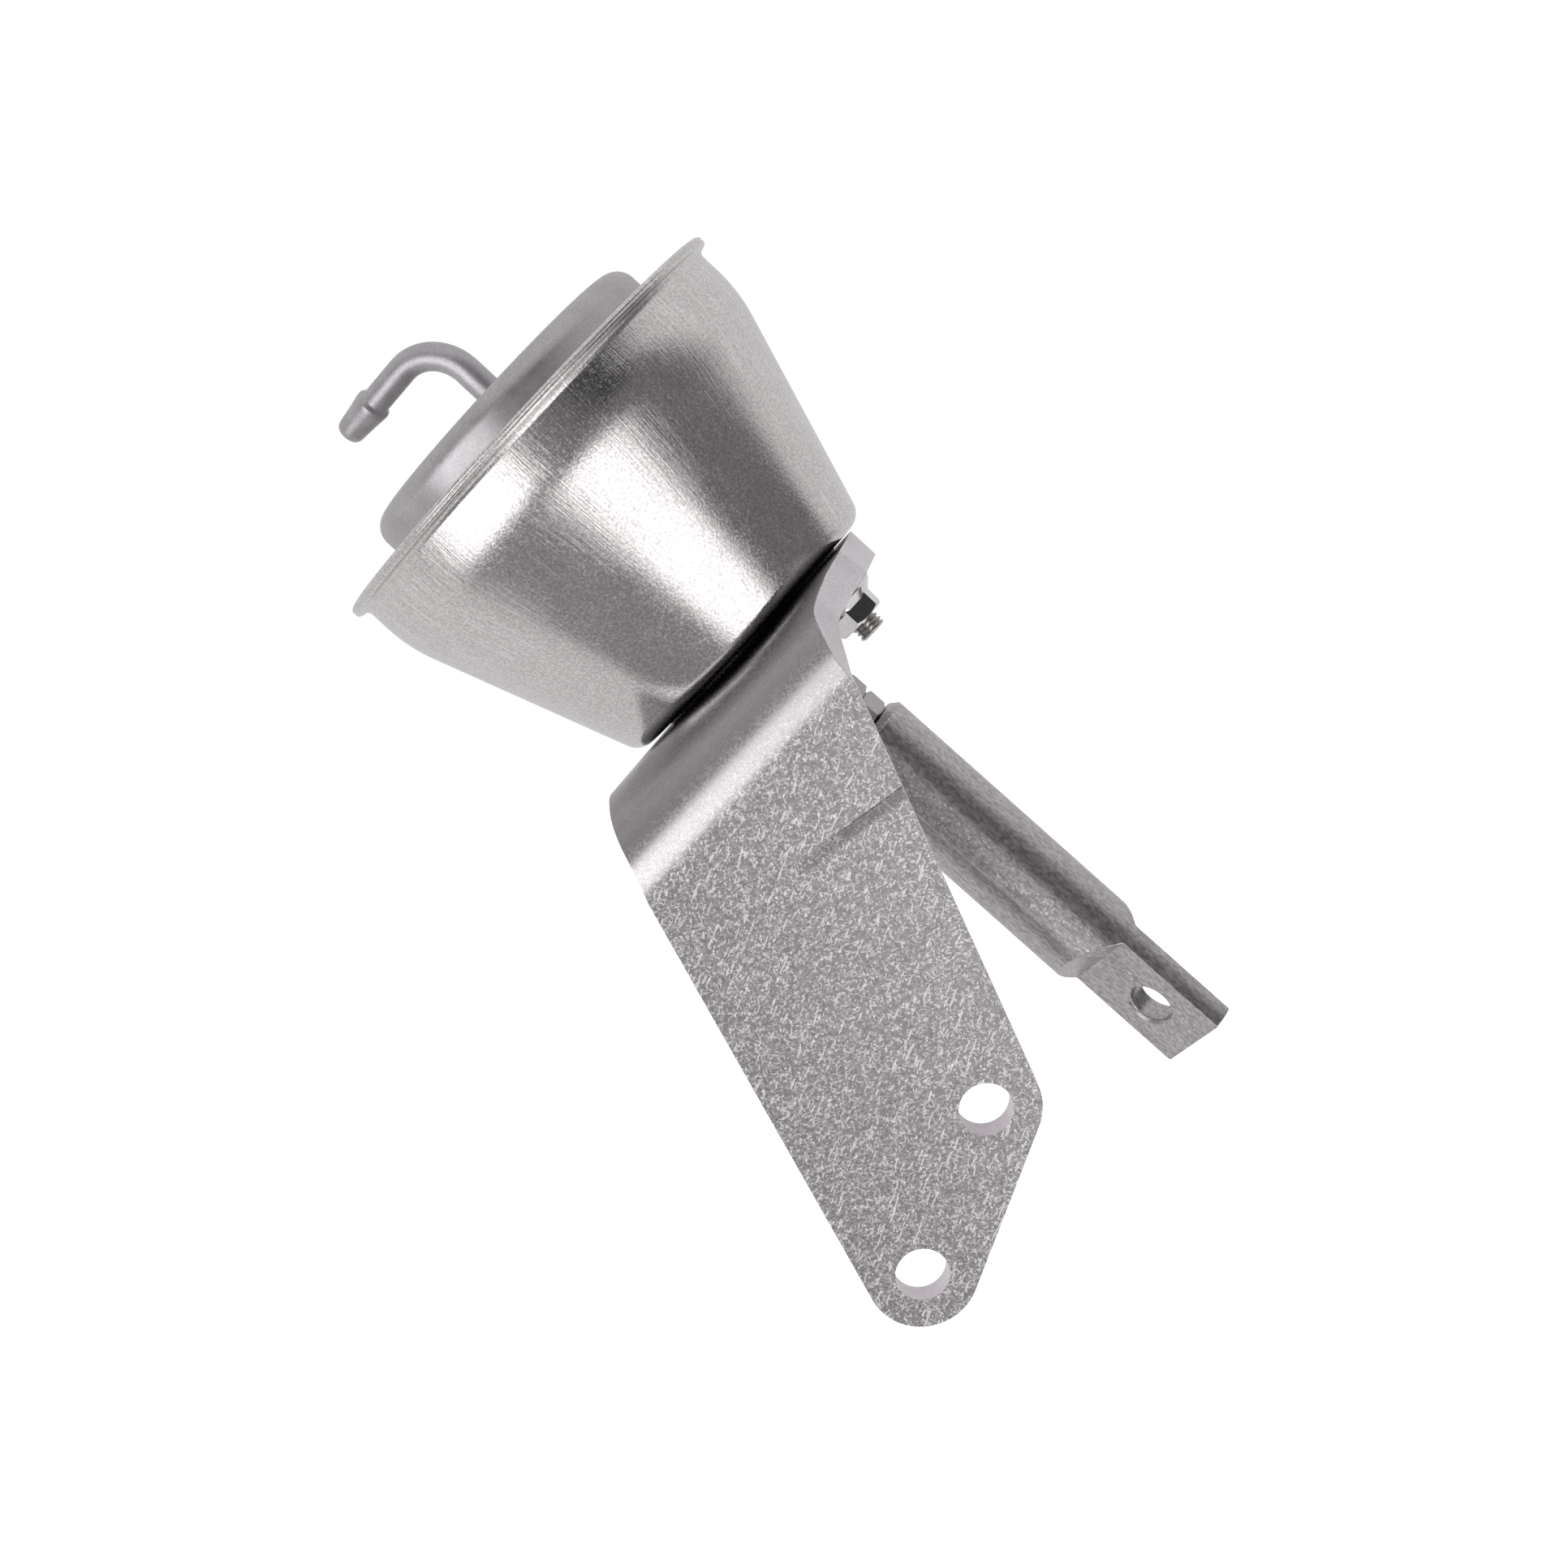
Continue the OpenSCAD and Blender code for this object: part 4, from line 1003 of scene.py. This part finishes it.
studio = dict(
    background=1.0, frontLeft=0.27, frontRight=0.17, side=0.7, top=0.5, under=0.8,
    # Where each of them begins and ends, in degrees
    frontTurn=(-25, 40), leftTurn=(-78, -66), rightTurn=(62, 80), rightSlope=1.6,
    topRise=(28, 55), underRise=(-64, -48), roomColour="#fffdff",
    floorLight=0.75, floorRoughness=0.9, floorColour="#f2f1ef", floorSize=6.0, floorGap=0.0125)
# Soft boxes by compass angle from the front towards +X and by elevation, in degrees: from, to,
# softness, then the light's level
softBoxes = [
    dict(az=(-63, -8), azSoft=9, el=(-13, 26), elSoft=6, level=2.05),
    dict(az=(-8, 42), azSoft=11, el=(-85, -22), elSoft=4, level=1.75),
]
# A black card in front on the right, which the nuts and the rod end mirror
darkCard = dict(az=(32, 60), azSoft=7, el=(-8, 7), elSoft=4, share=0.75)


def makeWorld():
    world = bpy.data.worlds.new("softStudio")
    world.use_nodes = True
    world.node_tree.nodes.clear()
    add = partial(addNode, world.node_tree)
    direction = add("TexCoord", output="Generated")
    x, y, z = add("SeparateXYZ", {0: direction}).node.outputs
    azimuth = add("arctan2", x, add("multiply", y, -1.0))
    elevation = add("arcsine", z)
    front = add("ramp", azimuth, *inRadians(studio["frontTurn"]), studio["frontLeft"],
                studio["frontRight"])
    left = add("ramp", azimuth, *inRadians(studio["leftTurn"]), studio["side"], 0.0)
    slope = add("multiply", elevation, studio["rightSlope"])
    slanted = add("add", azimuth, slope)
    right = add("ramp", slanted, *inRadians(studio["rightTurn"]), 0.0, studio["side"])
    room = add("maximum", add("maximum", left, right), front)
    upper = add("ramp", elevation, *inRadians(studio["topRise"]), 0.0, studio["top"])
    under = add("ramp", elevation, *inRadians(studio["underRise"]), studio["under"], 0.0)
    light = add("maximum", add("maximum", room, upper), under)
    for box in softBoxes:
        mask = add("multiply", softMask(add, azimuth, box["az"], box["azSoft"]),
                   softMask(add, elevation, box["el"], box["elSoft"]))
        light = add("maximum", light, add("multiply", mask, box["level"]))
    card = add("multiply", softMask(add, azimuth, darkCard["az"], darkCard["azSoft"]),
               softMask(add, elevation, darkCard["el"], darkCard["elSoft"]))
    unshaded = add("subtract", 1.0, add("multiply", card, darkCard["share"]))
    light = add("multiply", light, unshaded)
    inPicture = add("LightPath", output="Is Camera Ray")
    shownLight = add("Mix", {0: inPicture, 2: light, 3: studio["background"]}, data_type="FLOAT")
    tint = add("mix", inPicture, linearColour(studio["roomColour"]), (1, 1, 1, 1))
    glow = add("Background", {"Color": tint, "Strength": shownLight})
    add("OutputWorld", {"Surface": glow})
    bpy.context.scene.world = world


def makeFloor():
    # Pale paper: a little light of its own keeps it as bright as the wall behind
    material, _, shader, _ = startMaterial("paleStudioPaper", 0.0, studio["floorRoughness"])
    shader.inputs["Base Color"].default_value = linearColour(studio["floorColour"])
    shader.inputs["Emission Color"].default_value = (1, 1, 1, 1)
    shader.inputs["Emission Strength"].default_value = studio["floorLight"]
    half = studio["floorSize"] / 2
    level = cadBox[0].z - studio["floorGap"]
    corners = np.array([[-half, -half, level], [half, -half, level], [half, half, level],
                        [-half, half, level]])
    mesh = bpy.data.meshes.new("studioFloor")
    mesh.from_pydata(corners, [], [(0, 1, 2, 3)])
    mesh.materials.append(material)
    floor = bpy.data.objects.new("studioFloor", mesh)
    bpy.context.scene.collection.objects.link(floor)
    floor.visible_glossy = False
    floor.visible_diffuse = False
    floor.visible_shadow = False


# Camera: its three directions and its place in the canister's frame, in millimetres
view = dict(
    right=(0.67765172, 0.06704629, -0.73232024), down=(-0.71913939, -0.1477313, -0.67898012),
    ahead=(-0.15370972, 0.98675238, -0.05189474), place=(90.2805, -689.254, 14.7382),
    frame=1932, focal=5299.0, centre=(957.29, 986.86))


def makeCamera():
    right, down, ahead = (np.array(view[k]) for k in ("right", "down", "ahead"))
    data = bpy.data.cameras.new("productCamera")
    data.sensor_width = 36.0
    data.lens = view["focal"] * data.sensor_width / view["frame"]
    data.shift_x = 0.5 - view["centre"][0] / view["frame"]
    data.shift_y = view["centre"][1] / view["frame"] - 0.5
    data.clip_start, data.clip_end = 0.01, 50.0
    camera = bpy.data.objects.new("productCamera", data)
    bpy.context.scene.collection.objects.link(camera)
    place = toRow(view["place"])
    camera.matrix_world = Matrix((
        (right[0], -down[0], -ahead[0], place[0]), (right[1], -down[1], -ahead[1], place[1]),
        (right[2], -down[2], -ahead[2], place[2]), (0, 0, 0, 1)))
    bpy.context.scene.camera = camera


makeWorld()
makeFloor()
makeCamera()
bpy.context.scene.view_settings.view_transform = "Standard"
print("studio")
